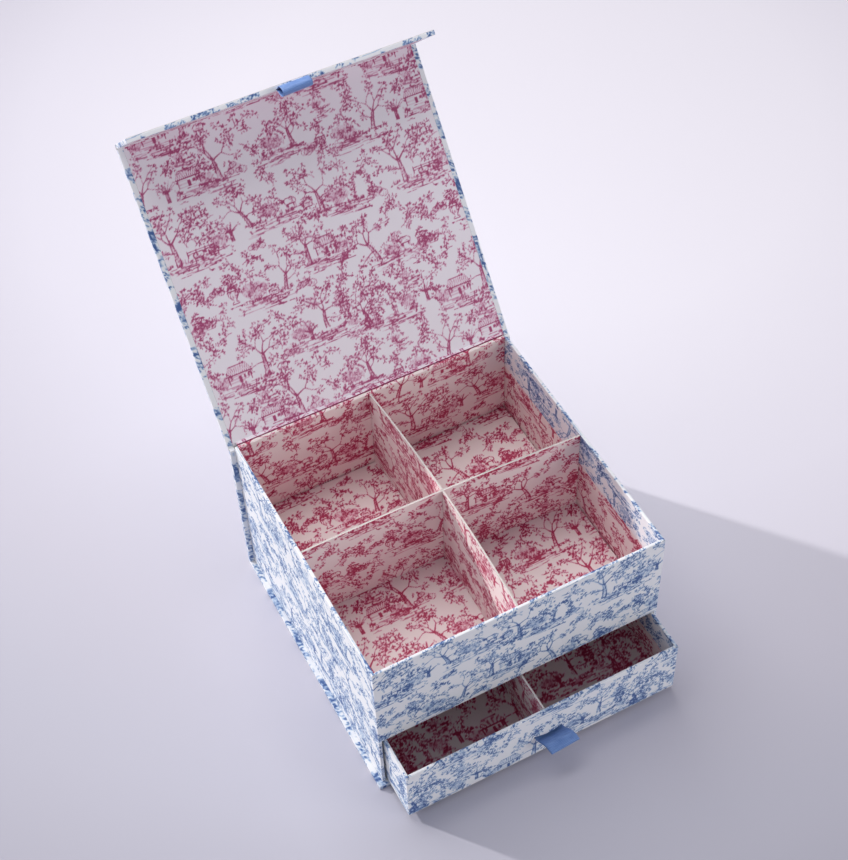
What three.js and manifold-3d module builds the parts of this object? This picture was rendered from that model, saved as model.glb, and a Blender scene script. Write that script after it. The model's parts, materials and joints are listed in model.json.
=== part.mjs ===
// Keepsake gift box: a paper-covered greyboard body with a divided tray above a drawer,
// glued into a book-style case whose spine carries a hinged lid with a folding front flap.
// Millimetres, +Z up, front towards -Y. The origin is the centre of the base's underside.

import * as THREE from 'three';
import { mergeVertices } from 'three/addons/utils/BufferGeometryUtils.js';
import Module from 'manifold-3d';

const wasm = await Module();
wasm.setup();

// Sheet materials
const paperThickness = 0.2;
const glueLine = 0.15;
const wallBoardThickness = 1.3;
const caseBoardThickness = 2.3;
const dividerThickness = 1.2;
const seatGap = 0.3;
const cutOverrun = 1;

// Body
const bodyWidth = 200;
const bodyDepth = 196;
const bodyHeight = 124;
const bayHeight = 48;
const shelfThickness = 2.5;
const trayFloorThickness = 2.5;
const trayFloorSideGap = 0.6;
const wallTurnIn = 28;
const dividerTopGap = 0.3;
const dividerSlotClearance = 0.3;

// Dividers: where each card meets the walls and the other card, from the middle of the box
const longDividerBackX = -3.8;
const longDividerFrontX = -2.5;
const dividerCrossingX = 0;
const dividerCrossingY = 2.2;
const crossDividerLeftY = 2.3;
const crossDividerRightY = -1.5;
const dividerBowSteps = 12;

// Case
const caseSideOverhang = 3.4;
const caseTurnIn = 3.4;
const baseTurnIn = 12;
const lidClosedGap = 0.45;
const lidHingeDrop = 1.6;
const lidHingeInset = 1.35;
const lidHingeClearance = 1.7;
const lidLiningReach = 0.4;
const spineTopDrop = 2.2;
const flapClosedGap = 2.8;
const flapCreaseGap = 0.4;
const flapCreaseStart = 0.6;
const flapReach = 39;
const hingePaperSag = 0.7;
const hingePaperSteps = 10;

// Pose in the photograph, in degrees
const lidOpenAngle = 127.8;
const flapFoldAngle = 85.9;

// Magnets in the flap and their keepers in the front wall
const magnetDiameter = 14;
const magnetThickness = 1.5;
const magnetSpacing = 120;
const magnetAlongFlap = 30;
const keeperThickness = 1;
const magnetClearance = 0.25;
const discSides = 32;

// Ribbons
const ribbonWidth = 20;
const ribbonThickness = 0.3;
const ribbonLayerGap = 0.1;
const ribbonSlitClearance = 0.2;
const ribbonTail = 10;
const flapLoopLength = 11.8;
const flapLoopHeight = 6.6;
const flapRibbonX = 4;
const loopSteps = 56;
const drawerTabLength = 12.5;
const drawerTabDroop = 5.4;
const drawerTabSteps = 14;
const drawerSlitHeight = 19.8;
const drawerRibbonX = 2.4;

// Drawer, with its play in the bay on each side
const drawerLeftGap = 1.6;
const drawerRightGap = 0.4;
const drawerBackGap = 1.5;
const drawerTopGap = 0.7;
const drawerPulledOut = 29.3;
const drawerFloorThickness = 1.7;
const drawerTurnIn = 22;
const drawerDividerTopGap = 0.5;

// Worked out from the sizes above
const lamina = paperThickness + glueLine;
const wallThickness = 2 * lamina + wallBoardThickness;
const caseThickness = 2 * lamina + caseBoardThickness;
const innerHalfWidth = bodyWidth / 2 - wallThickness;
const innerHalfDepth = bodyDepth / 2 - wallThickness;
const wallFoot = caseThickness + glueLine;
const wallTop = wallFoot + bodyHeight;
const bayTop = caseThickness + bayHeight;
const shelfBottom = bayTop + lamina;
const shelfTop = shelfBottom + shelfThickness;
const trayFloorTop = shelfTop + glueLine + trayFloorThickness;
const trayFloorPaperTop = trayFloorTop + lamina;
const caseHalfWidth = bodyWidth / 2 + caseSideOverhang;
const caseBack = bodyDepth / 2 + glueLine + caseThickness;
const lidAxisY = caseBack - lidHingeInset;
const lidAxisZ = wallTop + lidClosedGap - lidHingeDrop;
const spineTop = lidAxisZ - spineTopDrop;
const flapInnerReach = lidAxisY + bodyDepth / 2 + flapClosedGap;
const flapAxisReach = flapInnerReach + caseThickness / 2;
const flapAxisRise = lidHingeDrop + caseThickness / 2;
const lidFrontReach = flapInnerReach - flapCreaseGap;
const flapEndReach = flapReach + caseThickness / 2;
const keeperHeight = lidAxisZ + flapAxisRise - magnetAlongFlap;
const ribbonPairThickness = 2 * ribbonThickness + ribbonLayerGap;
const drawerWidth = 2 * innerHalfWidth - drawerLeftGap - drawerRightGap;
const drawerDepth = bodyDepth / 2 + innerHalfDepth - drawerBackGap;
const drawerHeight = bayHeight - seatGap - drawerTopGap;
const drawerShift = (drawerLeftGap - drawerRightGap) / 2;
const drawerFloorPaperTop = lamina + drawerFloorThickness + lamina;

// Finishes
const finish = (color, roughness, metalness = 0) =>
  new THREE.MeshStandardMaterial({ color, roughness, metalness });
const greyboard = finish(0x9d978d, 0.95);
const bluePrint = finish(0xb9cde6, 0.7);
const redPrint = finish(0xcf9aa6, 0.75);
const plainPaper = finish(0xe9e4df, 0.85);
const blueRibbon = finish(0x6f9be6, 0.5);
const nickel = finish(0xb8bac0, 0.3, 1);
const steel = finish(0x8f9297, 0.45, 1);

// Geometry helpers

/** A rectangular slab between low and high limits along x, y and z. */
function slab([x0, x1], [y0, y1], [z0, z1]) {
  const geometry = new THREE.BoxGeometry(x1 - x0, y1 - y0, z1 - z0);
  return geometry.translate((x0 + x1) / 2, (y0 + y1) / 2, (z0 + z1) / 2);
}

/** A closed mesh as a solid that can be joined and cut. */
function solidOf(geometry) {
  const bare = geometry.clone();
  bare.deleteAttribute('normal');
  bare.deleteAttribute('uv');
  const merged = mergeVertices(bare);
  return new wasm.Manifold(
    new wasm.Mesh({
      numProp: 3,
      vertProperties: new Float32Array(merged.attributes.position.array),
      triVerts: new Uint32Array(merged.index.array),
    }),
  );
}

/** A solid back as a mesh geometry. */
function geometryOf(solid) {
  const mesh = solid.getMesh();
  const geometry = new THREE.BufferGeometry();
  geometry.setAttribute('position', new THREE.BufferAttribute(mesh.vertProperties, 3));
  geometry.setIndex(new THREE.BufferAttribute(mesh.triVerts, 1));
  geometry.computeVertexNormals();
  return geometry;
}

/** The first geometry with the others cut out of it. */
function cut(geometry, ...cutters) {
  const rest = cutters.reduce((solid, cutter) => solid.subtract(solidOf(cutter)), solidOf(geometry));
  return geometryOf(rest);
}

/** Several geometries joined into one body. */
function join(first, ...others) {
  return geometryOf(others.reduce((solid, other) => solid.add(solidOf(other)), solidOf(first)));
}

/** A flat outline of (y, z) points drawn out along x. */
function alongX(outline, [x0, x1]) {
  const shape = new THREE.Shape(outline.map(([y, z]) => new THREE.Vector2(y, z)));
  const geometry = new THREE.ExtrudeGeometry(shape, { depth: x1 - x0, bevelEnabled: false });
  const turn = new THREE.Matrix4().makeBasis(
    new THREE.Vector3(0, 1, 0),
    new THREE.Vector3(0, 0, 1),
    new THREE.Vector3(1, 0, 0),
  );
  return geometry.applyMatrix4(turn).translate(x0, 0, 0);
}

/** A flat outline of (x, y) points drawn up along z. */
function alongZ(outline, [z0, z1]) {
  const shape = new THREE.Shape(outline.map(([x, y]) => new THREE.Vector2(x, y)));
  const geometry = new THREE.ExtrudeGeometry(shape, { depth: z1 - z0, bevelEnabled: false });
  return geometry.translate(0, 0, z0);
}

/** A smooth curve through points in a plane, without overshoot where they lie close. */
function smoothLine(points) {
  const spots = points.map((point) => new THREE.Vector3(point.x, point.y, 0));
  return new THREE.CatmullRomCurve3(spots, false, 'centripetal');
}

/** The outline of a strip of one thickness that follows a curve in a plane. */
function stripOutline(curve, thickness, steps) {
  const sides = [1, -1].map((side) =>
    Array.from({ length: steps + 1 }, (_, i) => {
      const point = curve.getPoint(i / steps);
      const tangent = curve.getTangent(i / steps);
      const away = (side * thickness) / 2;
      return [point.x - tangent.y * away, point.y + tangent.x * away];
    }),
  );
  return [...sides[0], ...sides[1].reverse()];
}

/** A disc with its axis along y, between two y limits. */
function discAlongY(radius, x, z, [y0, y1]) {
  const disc = new THREE.CylinderGeometry(radius, radius, y1 - y0, discSides);
  return disc.translate(x, (y0 + y1) / 2, z);
}

/** A disc with its axis along z, between two z limits. */
function discAlongZ(radius, x, y, [z0, z1]) {
  const disc = new THREE.CylinderGeometry(radius, radius, z1 - z0, discSides);
  return disc.rotateX(Math.PI / 2).translate(x, y, (z0 + z1) / 2);
}

/** A named piece of the box. */
function piece(name, geometry, material) {
  const mesh = new THREE.Mesh(geometry, material);
  mesh.name = name;
  return mesh;
}

/** A group at a place, turned about x, y and z. */
function placed(parts, position, rotation = [0, 0, 0]) {
  const group = new THREE.Group();
  group.position.set(...position);
  group.rotation.set(...rotation);
  group.add(...parts);
  return group;
}

// A case panel: a board in a wrapped cover, lined on its inner face.
// Its inner face lies at z = 0 and its outer face at z = caseThickness.
// The cover turns in over both long sides, and over the front or back end where asked.

function casePanel({ halfWidth, front, back, wrapsFront, wrapsBack, turnIn }) {
  const frontSkin = wrapsFront ? 1 : 0;
  const backSkin = wrapsBack ? 1 : 0;
  const board = slab(
    [-halfWidth + lamina, halfWidth - lamina],
    [front + frontSkin * lamina, back - backSkin * lamina],
    [lamina, caseThickness - lamina],
  );
  const pocket = slab(
    [-halfWidth + paperThickness, halfWidth - paperThickness],
    [
      wrapsFront ? front + paperThickness : front - cutOverrun,
      wrapsBack ? back - paperThickness : back + cutOverrun,
    ],
    [paperThickness, caseThickness - paperThickness],
  );
  const openFace = slab(
    [-halfWidth + turnIn, halfWidth - turnIn],
    [wrapsFront ? front + turnIn : front - cutOverrun, wrapsBack ? back - turnIn : back + cutOverrun],
    [-cutOverrun, caseThickness / 2],
  );
  const cover = cut(
    slab([-halfWidth, halfWidth], [front, back], [0, caseThickness]),
    pocket,
    openFace,
  );
  const liningRange = {
    x: [-halfWidth + turnIn + glueLine, halfWidth - turnIn - glueLine],
    y: [front + frontSkin * (turnIn + glueLine), back - backSkin * (turnIn + glueLine)],
  };
  return { board, cover, liningRange };
}

// A wall of the body or the drawer: a board with a cover that goes over its top edge and
// down its inner face, and a lining below that. It runs along x, its outer face is at y = 0.
// capHalf is half the length of the outer sheet, which also covers the ends of the side walls.

function wallPieces({ half, capHalf, foot, top, turnIn, liningFoot }) {
  const board = slab(
    [-half, half],
    [lamina, wallThickness - lamina],
    [foot, top - lamina],
  );
  const outerSheet = slab([-capHalf, capHalf], [0, paperThickness], [foot, top]);
  const topSheet = slab([-half, half], [0, wallThickness], [top - paperThickness, top]);
  const turnedSheet = slab(
    [-half, half],
    [wallThickness - paperThickness, wallThickness],
    [top - turnIn, top],
  );
  const cover = turnIn > 0 ? join(outerSheet, topSheet, turnedSheet) : join(outerSheet, topSheet);
  const liningTop = turnIn > 0 ? top - turnIn - glueLine : top - lamina;
  const lining = slab(
    [-half, half],
    [wallThickness - paperThickness, wallThickness],
    [liningFoot, liningTop],
  );
  return { board, cover, lining };
}

// Where the four walls of a frame stand, with each wall's x axis along its length.

function wallSides(width, depth) {
  return {
    front: { position: [0, -depth / 2, 0], turn: 0 },
    right: { position: [width / 2, 0, 0], turn: Math.PI / 2 },
    back: { position: [0, depth / 2, 0], turn: Math.PI },
    left: { position: [-width / 2, 0, 0], turn: -Math.PI / 2 },
  };
}

// Body: four walls on the base, a shelf that roofs the drawer bay, and the tray above it.

function bodyWalls() {
  const sides = wallSides(bodyWidth, bodyDepth);
  const sideHalf = bodyDepth / 2 - lamina;
  const endHalf = innerHalfWidth - glueLine;
  const liningFoot = shelfTop + glueLine;
  const walls = {
    left: { half: sideHalf, capHalf: sideHalf, foot: wallFoot, turnIn: wallTurnIn },
    right: { half: sideHalf, capHalf: sideHalf, foot: wallFoot, turnIn: wallTurnIn },
    back: { half: endHalf, capHalf: bodyWidth / 2, foot: wallFoot, turnIn: 0 },
    front: { half: endHalf, capHalf: bodyWidth / 2, foot: shelfBottom, turnIn: wallTurnIn },
  };
  const groups = [];
  for (const [side, wall] of Object.entries(walls)) {
    const { board, cover, lining } = wallPieces({ ...wall, top: wallTop, liningFoot });
    const { position, turn } = sides[side];
    const boardShape = side === 'front' ? cut(board, ...keeperHoles()) : board;
    const coverShape = side === 'front' ? join(cover, ...frontEdgeSheets()) : cover;
    const parts = [
      piece(`${side}_wall_board`, boardShape, greyboard),
      piece(`${side}_wall_cover_paper`, coverShape, bluePrint),
      piece(`${side}_wall_lining_paper`, lining, redPrint),
    ];
    if (side === 'front') {
      parts.push(...keeperPlates());
    } else {
      parts.push(piece(`bay_${side}_lining_paper`, bayLining(wall.half), plainPaper));
    }
    groups.push(placed(parts, position, [0, 0, turn]));
  }
  return groups;
}

/** The cover's strips below the front wall: under its edge and down both side walls' ends. */
function frontEdgeSheets() {
  const half = innerHalfWidth - glueLine;
  const legs = [-1, 1].map((side) => {
    const ends = [side * bodyWidth / 2, side * (bodyWidth / 2 - wallThickness)];
    return slab([Math.min(...ends), Math.max(...ends)], [0, paperThickness], [wallFoot, shelfBottom]);
  });
  const apron = slab([-half, half], [0, paperThickness], [bayTop, shelfBottom]);
  const underside = slab([-half, half], [0, wallThickness], [bayTop, bayTop + paperThickness]);
  return [...legs, apron, underside];
}

/** The plain sheet that lines a bay wall below the shelf. */
function bayLining(half) {
  return slab(
    [-half, half],
    [wallThickness - paperThickness, wallThickness],
    [wallFoot, shelfBottom - glueLine],
  );
}

const magnetPlaces = [['left', -magnetSpacing / 2], ['right', magnetSpacing / 2]];

function keeperHoles() {
  const radius = magnetDiameter / 2 + magnetClearance;
  return magnetPlaces.map(([, x]) =>
    discAlongY(radius, x, keeperHeight, [-cutOverrun, wallThickness + cutOverrun]),
  );
}

function keeperPlates() {
  const middle = wallThickness / 2;
  const range = [middle - keeperThickness / 2, middle + keeperThickness / 2];
  return magnetPlaces.map(([side, x]) =>
    piece(`keeper_plate_${side}`, discAlongY(magnetDiameter / 2, x, keeperHeight, range), steel),
  );
}

function shelfAndTrayFloor() {
  const shelfHalfWidth = innerHalfWidth - glueLine;
  const shelfHalfDepth = innerHalfDepth - glueLine;
  const floorX = [-innerHalfWidth + seatGap, innerHalfWidth - trayFloorSideGap];
  const floorY = [-innerHalfDepth + seatGap, innerHalfDepth - trayFloorSideGap];
  return [
    piece(
      'shelf_board',
      slab([-shelfHalfWidth, shelfHalfWidth], [-shelfHalfDepth, shelfHalfDepth], [shelfBottom, shelfTop]),
      greyboard,
    ),
    piece('tray_floor_board', slab(floorX, floorY, [shelfTop + glueLine, trayFloorTop]), greyboard),
    piece('tray_floor_paper', slab(floorX, floorY, [trayFloorTop + glueLine, trayFloorPaperTop]), redPrint),
  ];
}

// Tray dividers: two thin cards that flex a little and lock together at half-height slots.

function dividers() {
  const foot = trayFloorPaperTop + seatGap;
  const top = wallTop - dividerTopGap;
  const middle = (foot + top) / 2;
  const crossing = [dividerCrossingX, dividerCrossingY];
  const slotHalf = dividerThickness / 2 + dividerSlotClearance;
  const endY = innerHalfDepth - seatGap;
  const endX = innerHalfWidth - seatGap;
  const slotX = [crossing[0] - slotHalf, crossing[0] + slotHalf];
  const slotY = [crossing[1] - slotHalf, crossing[1] + slotHalf];
  const reachX = [crossing[0] - slotHalf - cutOverrun, crossing[0] + slotHalf + cutOverrun];
  const reachY = [crossing[1] - slotHalf - cutOverrun, crossing[1] + slotHalf + cutOverrun];

  const longLine = smoothLine([
    new THREE.Vector2(longDividerFrontX, -endY),
    new THREE.Vector2(...crossing),
    new THREE.Vector2(longDividerBackX, endY),
  ]);
  const crossLine = smoothLine([
    new THREE.Vector2(-endX, crossDividerLeftY),
    new THREE.Vector2(...crossing),
    new THREE.Vector2(endX, crossDividerRightY),
  ]);
  const longCard = alongZ(stripOutline(longLine, dividerThickness, dividerBowSteps), [foot, top]);
  const crossCard = alongZ(stripOutline(crossLine, dividerThickness, dividerBowSteps), [foot, top]);
  const longSlot = slab(reachX, slotY, [middle - seatGap / 2, top + cutOverrun]);
  const crossSlot = slab(slotX, reachY, [foot - cutOverrun, middle + seatGap / 2]);
  return [
    piece('long_divider', cut(longCard, longSlot), redPrint),
    piece('cross_divider', cut(crossCard, crossSlot), redPrint),
  ];
}

// Case: base under the body, spine behind it, and the lid and flap that fold from the spine.

function base() {
  const panel = casePanel({
    halfWidth: caseHalfWidth,
    front: -caseBack,
    back: caseBack,
    wrapsFront: true,
    wrapsBack: true,
    turnIn: baseTurnIn,
  });
  const { x, y } = panel.liningRange;
  const parts = [
    piece('base_board', panel.board, greyboard),
    piece('base_cover_paper', panel.cover, bluePrint),
    piece('base_lining_paper', slab(x, y, [0, paperThickness]), plainPaper),
  ];
  return placed(parts, [0, 0, caseThickness], [0, Math.PI, 0]);
}

function spine() {
  const panel = casePanel({
    halfWidth: caseHalfWidth,
    front: -spineTop,
    back: -wallFoot,
    wrapsFront: false,
    wrapsBack: false,
    turnIn: caseTurnIn,
  });
  const parts = [
    piece('spine_board', panel.board, greyboard),
    piece('spine_cover_paper', panel.cover, bluePrint),
  ];
  return placed(parts, [0, bodyDepth / 2 + glueLine, 0], [-Math.PI / 2, 0, 0]);
}

/** The creased strip of cover paper that joins the spine to the open lid, outside both. */
function lidHingePaper() {
  const angle = THREE.MathUtils.degToRad(lidOpenAngle);
  const along = new THREE.Vector2(-Math.cos(angle), Math.sin(angle));
  const outward = new THREE.Vector2(Math.sin(angle), Math.cos(angle));
  const start = new THREE.Vector2(caseBack - paperThickness / 2, spineTop + glueLine);
  const end = new THREE.Vector2(lidAxisY, lidAxisZ)
    .addScaledVector(along, lidHingeClearance - glueLine)
    .addScaledVector(outward, lidHingeDrop + caseThickness - paperThickness / 2);
  const sag = new THREE.Vector2().lerpVectors(start, end, 1 / 2);
  sag.y -= hingePaperSag;
  const curve = new THREE.QuadraticBezierCurve(start, sag, end);
  return piece(
    'lid_hinge_paper',
    alongX(stripOutline(curve, paperThickness, hingePaperSteps), [-caseHalfWidth, caseHalfWidth]),
    bluePrint,
  );
}

// Lid: built closed, with its hinge axis at the group's origin and its front towards -y.

function lid() {
  const panel = casePanel({
    halfWidth: caseHalfWidth,
    front: -lidFrontReach,
    back: -lidHingeClearance,
    wrapsFront: false,
    wrapsBack: false,
    turnIn: caseTurnIn,
  });
  const { x, y } = panel.liningRange;
  const boards = placed(
    [
      piece('lid_board', panel.board, greyboard),
      piece('lid_cover_paper', panel.cover, bluePrint),
      piece('lid_lining_paper', slab(x, [y[0], lidLiningReach], [0, paperThickness]), redPrint),
    ],
    [0, 0, lidHingeDrop],
  );
  const fold = THREE.MathUtils.degToRad(flapFoldAngle);
  const folded = placed([flap()], [0, -flapAxisReach, flapAxisRise], [fold, 0, 0]);
  const open = -THREE.MathUtils.degToRad(lidOpenAngle);
  return placed([boards, flapHingePaper(), folded], [0, lidAxisY, lidAxisZ], [open, 0, 0]);
}

/** The creased strip of cover paper round the lid's front corner, as the flap lies folded. */
function flapHingePaper() {
  const fold = THREE.MathUtils.degToRad(flapFoldAngle);
  const sheetRise = caseThickness / 2 - paperThickness / 2;
  const axis = new THREE.Vector2(-flapAxisReach, flapAxisRise);
  const alongFlap = new THREE.Vector2(-Math.cos(fold), -Math.sin(fold));
  const outward = new THREE.Vector2(-Math.sin(fold), Math.cos(fold));
  const start = new THREE.Vector2(-lidFrontReach - glueLine, flapAxisRise + sheetRise);
  const end = axis.clone()
    .addScaledVector(alongFlap, flapCreaseStart - glueLine)
    .addScaledVector(outward, sheetRise);
  const corner = new THREE.Vector2(end.x, start.y);
  const curve = new THREE.QuadraticBezierCurve(start, corner, end);
  return piece(
    'flap_hinge_paper',
    alongX(stripOutline(curve, paperThickness, hingePaperSteps), [-caseHalfWidth, caseHalfWidth]),
    bluePrint,
  );
}

// Flap: built flat, with its crease axis at the origin, its free end towards -y
// and its inner face at z = -caseThickness / 2.

function flap() {
  const panel = casePanel({
    halfWidth: caseHalfWidth,
    front: -flapEndReach,
    back: -flapCreaseStart,
    wrapsFront: true,
    wrapsBack: false,
    turnIn: caseTurnIn,
  });
  const { x, y } = panel.liningRange;
  const halfRibbon = ribbonWidth / 2 + ribbonSlitClearance;
  const slitTop = lamina + ribbonPairThickness + ribbonSlitClearance;
  const ribbonX = [flapRibbonX - halfRibbon, flapRibbonX + halfRibbon];
  const tailEnd = -flapEndReach + lamina + ribbonTail + ribbonSlitClearance;
  const recess = slab(ribbonX, [-flapEndReach - cutOverrun, tailEnd], [lamina - cutOverrun, slitTop]);
  const slit = slab(ribbonX, [-flapEndReach - cutOverrun, -flapEndReach + glueLine + paperThickness],
    [lamina - ribbonSlitClearance / 2, slitTop]);
  const magnetRange = [lamina, lamina + magnetThickness];
  const pocketRange = [lamina - cutOverrun, lamina + magnetThickness + magnetClearance];
  const pockets = magnetPlaces.map(([, x]) =>
    discAlongZ(magnetDiameter / 2 + magnetClearance, x, -magnetAlongFlap, pocketRange),
  );
  const magnets = magnetPlaces.map(([side, x]) =>
    piece(`flap_magnet_${side}`, discAlongZ(magnetDiameter / 2, x, -magnetAlongFlap, magnetRange), nickel),
  );
  const parts = [
    piece('flap_board', cut(panel.board, recess, ...pockets), greyboard),
    piece('flap_cover_paper', cut(panel.cover, slit), bluePrint),
    piece('flap_lining_paper', slab(x, y, [0, paperThickness]), redPrint),
    piece('flap_pull_ribbon', flapRibbonLoop(), blueRibbon),
    ...magnets,
  ];
  return placed(parts, [0, 0, -caseThickness / 2]);
}

/** A loop of ribbon: both ends lie in the recess under the lining, and the loop stands out
    from the flap's free edge as a teardrop. Outline points are (y, z), y towards the crease. */
function flapRibbonLoop() {
  const layer = (ribbonThickness + ribbonLayerGap) / 2;
  const root = lamina + ribbonSlitClearance / 2 + ribbonPairThickness / 2;
  const edge = -flapEndReach;
  const tail = edge + lamina + ribbonTail;
  const halfHeight = flapLoopHeight / 2 - ribbonThickness / 2;
  const loopShares = [[0, 0], [0.16, 0.42], [0.36, 0.88], [0.58, 1], [0.8, 0.83], [0.95, 0.42]];
  const loopSide = (side) => [
    new THREE.Vector2(tail, root + side * layer),
    ...loopShares.map(([out, spread]) => new THREE.Vector2(
      edge - out * flapLoopLength,
      root + side * (layer + spread * halfHeight),
    )),
  ];
  const tip = new THREE.Vector2(edge - flapLoopLength, root);
  const curve = smoothLine([...loopSide(1), tip, ...loopSide(-1).reverse()]);
  const half = ribbonWidth / 2;
  return alongX(stripOutline(curve, ribbonThickness, loopSteps), [flapRibbonX - half, flapRibbonX + half]);
}

// Drawer: four walls round a floor, a divider, and a folded ribbon through the front.
// Its own origin is at the middle of its underside.

function drawer() {
  const sides = wallSides(drawerWidth, drawerDepth);
  const halfInnerWidth = drawerWidth / 2 - wallThickness;
  const halfInnerDepth = drawerDepth / 2 - wallThickness;
  const sideHalf = drawerDepth / 2 - lamina;
  const endHalf = halfInnerWidth - glueLine;
  const halves = { front: endHalf, right: sideHalf, back: endHalf, left: sideHalf };
  const groups = Object.entries(sides).map(([side, { position, turn }]) => {
    const isEnd = side === 'front' || side === 'back';
    const { board, cover, lining } = wallPieces({
      half: halves[side],
      capHalf: isEnd ? drawerWidth / 2 : sideHalf,
      foot: lamina,
      top: drawerHeight,
      turnIn: drawerTurnIn,
      liningFoot: drawerFloorPaperTop + glueLine,
    });
    const slit = ribbonSlit();
    const parts = [
      piece(`drawer_${side}_board`, side === 'front' ? cut(board, slit) : board, greyboard),
      piece(`drawer_${side}_cover_paper`, side === 'front' ? cut(cover, slit) : cover, bluePrint),
      piece(`drawer_${side}_lining_paper`, lining, redPrint),
    ];
    if (side === 'front') {
      parts.push(piece('drawer_pull_ribbon', drawerRibbonTab(), blueRibbon));
    }
    return placed(parts, position, [0, 0, turn]);
  });
  const floorX = [-halfInnerWidth + glueLine, halfInnerWidth - glueLine];
  const floorY = [-halfInnerDepth + glueLine, halfInnerDepth - glueLine];
  const half = dividerThickness / 2;
  const dividerEnd = halfInnerDepth - seatGap;
  const flat = [
    piece(
      'drawer_bottom_paper',
      slab([-drawerWidth / 2, drawerWidth / 2], [-drawerDepth / 2, drawerDepth / 2], [0, paperThickness]),
      bluePrint,
    ),
    piece('drawer_floor_board', slab(floorX, floorY, [lamina, lamina + drawerFloorThickness]), greyboard),
    piece(
      'drawer_floor_paper',
      slab(floorX, floorY, [drawerFloorPaperTop - paperThickness, drawerFloorPaperTop]),
      redPrint,
    ),
    piece(
      'drawer_divider',
      slab([-half, half], [-dividerEnd, dividerEnd],
        [drawerFloorPaperTop + seatGap, drawerHeight - drawerDividerTopGap]),
      redPrint,
    ),
  ];
  const frontFace = -bodyDepth / 2 - drawerPulledOut;
  return placed(
    [...groups, ...flat],
    [drawerShift, frontFace + drawerDepth / 2, caseThickness + seatGap],
  );
}

/** The slit through the drawer's front that the ribbon comes out of. */
function ribbonSlit() {
  const half = ribbonWidth / 2 + ribbonSlitClearance;
  const halfGap = ribbonPairThickness / 2 + ribbonSlitClearance;
  return slab(
    [drawerRibbonX - half, drawerRibbonX + half],
    [-cutOverrun, wallThickness - lamina + glueLine / 2],
    [drawerSlitHeight - halfGap, drawerSlitHeight + halfGap],
  );
}

/** The folded ribbon: flat through the slit, then drooping as it leaves the front. */
function drawerRibbonTab() {
  const points = [
    new THREE.Vector2(wallThickness - lamina, drawerSlitHeight),
    new THREE.Vector2(0, drawerSlitHeight),
    new THREE.Vector2(-drawerTabLength / 2, drawerSlitHeight - drawerTabDroop / 4),
    new THREE.Vector2(-drawerTabLength, drawerSlitHeight - drawerTabDroop),
  ];
  const outline = stripOutline(smoothLine(points), ribbonPairThickness, drawerTabSteps);
  const half = ribbonWidth / 2;
  return alongX(outline, [drawerRibbonX - half, drawerRibbonX + half]);
}

const giftBox = new THREE.Group();
giftBox.add(
  base(),
  spine(),
  ...bodyWalls(),
  ...shelfAndTrayFloor(),
  ...dividers(),
  lidHingePaper(),
  lid(),
  drawer(),
);

export default giftBox;
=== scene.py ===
# %% [markdown]
# Keepsake gift box. Two layers of paper-covered board: a divided tray on top and a drawer
# below, glued into a book-style case whose lid has a folding front flap.
# The real box is greyboard covered in printed paper, so nearly everything that shows is paper:
# a blue country-scene print outside and a crimson one inside. The exact boards come from the
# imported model. This file makes the paper, its print, the ribbons, the creases and the light.

# %% Load the exact frame
import json
import random
from math import cos, dist, hypot, pi, radians, sin, sqrt, tau
import bmesh
import bpy
import numpy as np
from mathutils import Matrix, Vector

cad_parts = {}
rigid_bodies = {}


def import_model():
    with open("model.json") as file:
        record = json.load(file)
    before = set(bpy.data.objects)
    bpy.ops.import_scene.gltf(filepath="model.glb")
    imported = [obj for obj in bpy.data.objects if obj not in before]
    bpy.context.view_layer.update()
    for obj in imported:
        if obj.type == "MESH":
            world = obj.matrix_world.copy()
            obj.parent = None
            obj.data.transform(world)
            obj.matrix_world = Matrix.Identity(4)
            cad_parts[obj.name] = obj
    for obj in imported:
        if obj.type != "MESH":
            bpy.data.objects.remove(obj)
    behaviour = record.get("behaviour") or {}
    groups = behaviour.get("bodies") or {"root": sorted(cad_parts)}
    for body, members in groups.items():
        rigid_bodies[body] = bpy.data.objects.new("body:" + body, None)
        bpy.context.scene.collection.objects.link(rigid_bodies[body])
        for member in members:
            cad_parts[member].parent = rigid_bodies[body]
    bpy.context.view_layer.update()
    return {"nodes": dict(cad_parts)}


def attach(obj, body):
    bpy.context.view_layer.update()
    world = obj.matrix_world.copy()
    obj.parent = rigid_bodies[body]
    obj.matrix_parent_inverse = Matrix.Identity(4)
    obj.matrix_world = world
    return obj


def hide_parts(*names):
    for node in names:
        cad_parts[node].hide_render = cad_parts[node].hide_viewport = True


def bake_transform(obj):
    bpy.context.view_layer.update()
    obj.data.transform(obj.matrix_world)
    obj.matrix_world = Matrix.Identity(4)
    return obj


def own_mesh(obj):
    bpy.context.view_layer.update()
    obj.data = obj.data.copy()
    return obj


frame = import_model()

# %% [markdown]
# The camera stands where the photographer stood: high, to the left of the box, looking down at
# about fifty degrees. The place was found by fitting a pinhole camera to the box's corners.
# Blender's lens is worked out from that fit: focal length in pixels over the picture's height.

# %% Camera
MM = 0.001
PICTURE = (848, 860)
FOCAL_PIXELS = 1734.88
CAMERA_SPOT = (-0.2985, -0.5942, 0.9838)
RIGHT = Vector((0.88357, -0.46728, -0.03100))
UP = Vector((0.37637, 0.66916, 0.64076))
AHEAD = Vector((0.27866, 0.57782, -0.76712))


def add_object(name, data):
    made = bpy.data.objects.new(name, data)
    bpy.context.scene.collection.objects.link(made)
    return made


camera_data = bpy.data.cameras.new("camera")
camera_data.sensor_width = 36
camera_data.sensor_fit = "AUTO"
camera_data.lens = FOCAL_PIXELS * camera_data.sensor_width / max(PICTURE)
camera_data.clip_end = 20
camera = add_object("camera", camera_data)
turned = Matrix((RIGHT, UP, -AHEAD)).transposed().to_4x4()
camera.matrix_world = Matrix.Translation(CAMERA_SPOT) @ turned
bpy.context.scene.camera = camera
bpy.context.scene.view_settings.view_transform = "Standard"
print("lens", round(camera_data.lens, 2), "mm")

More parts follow.
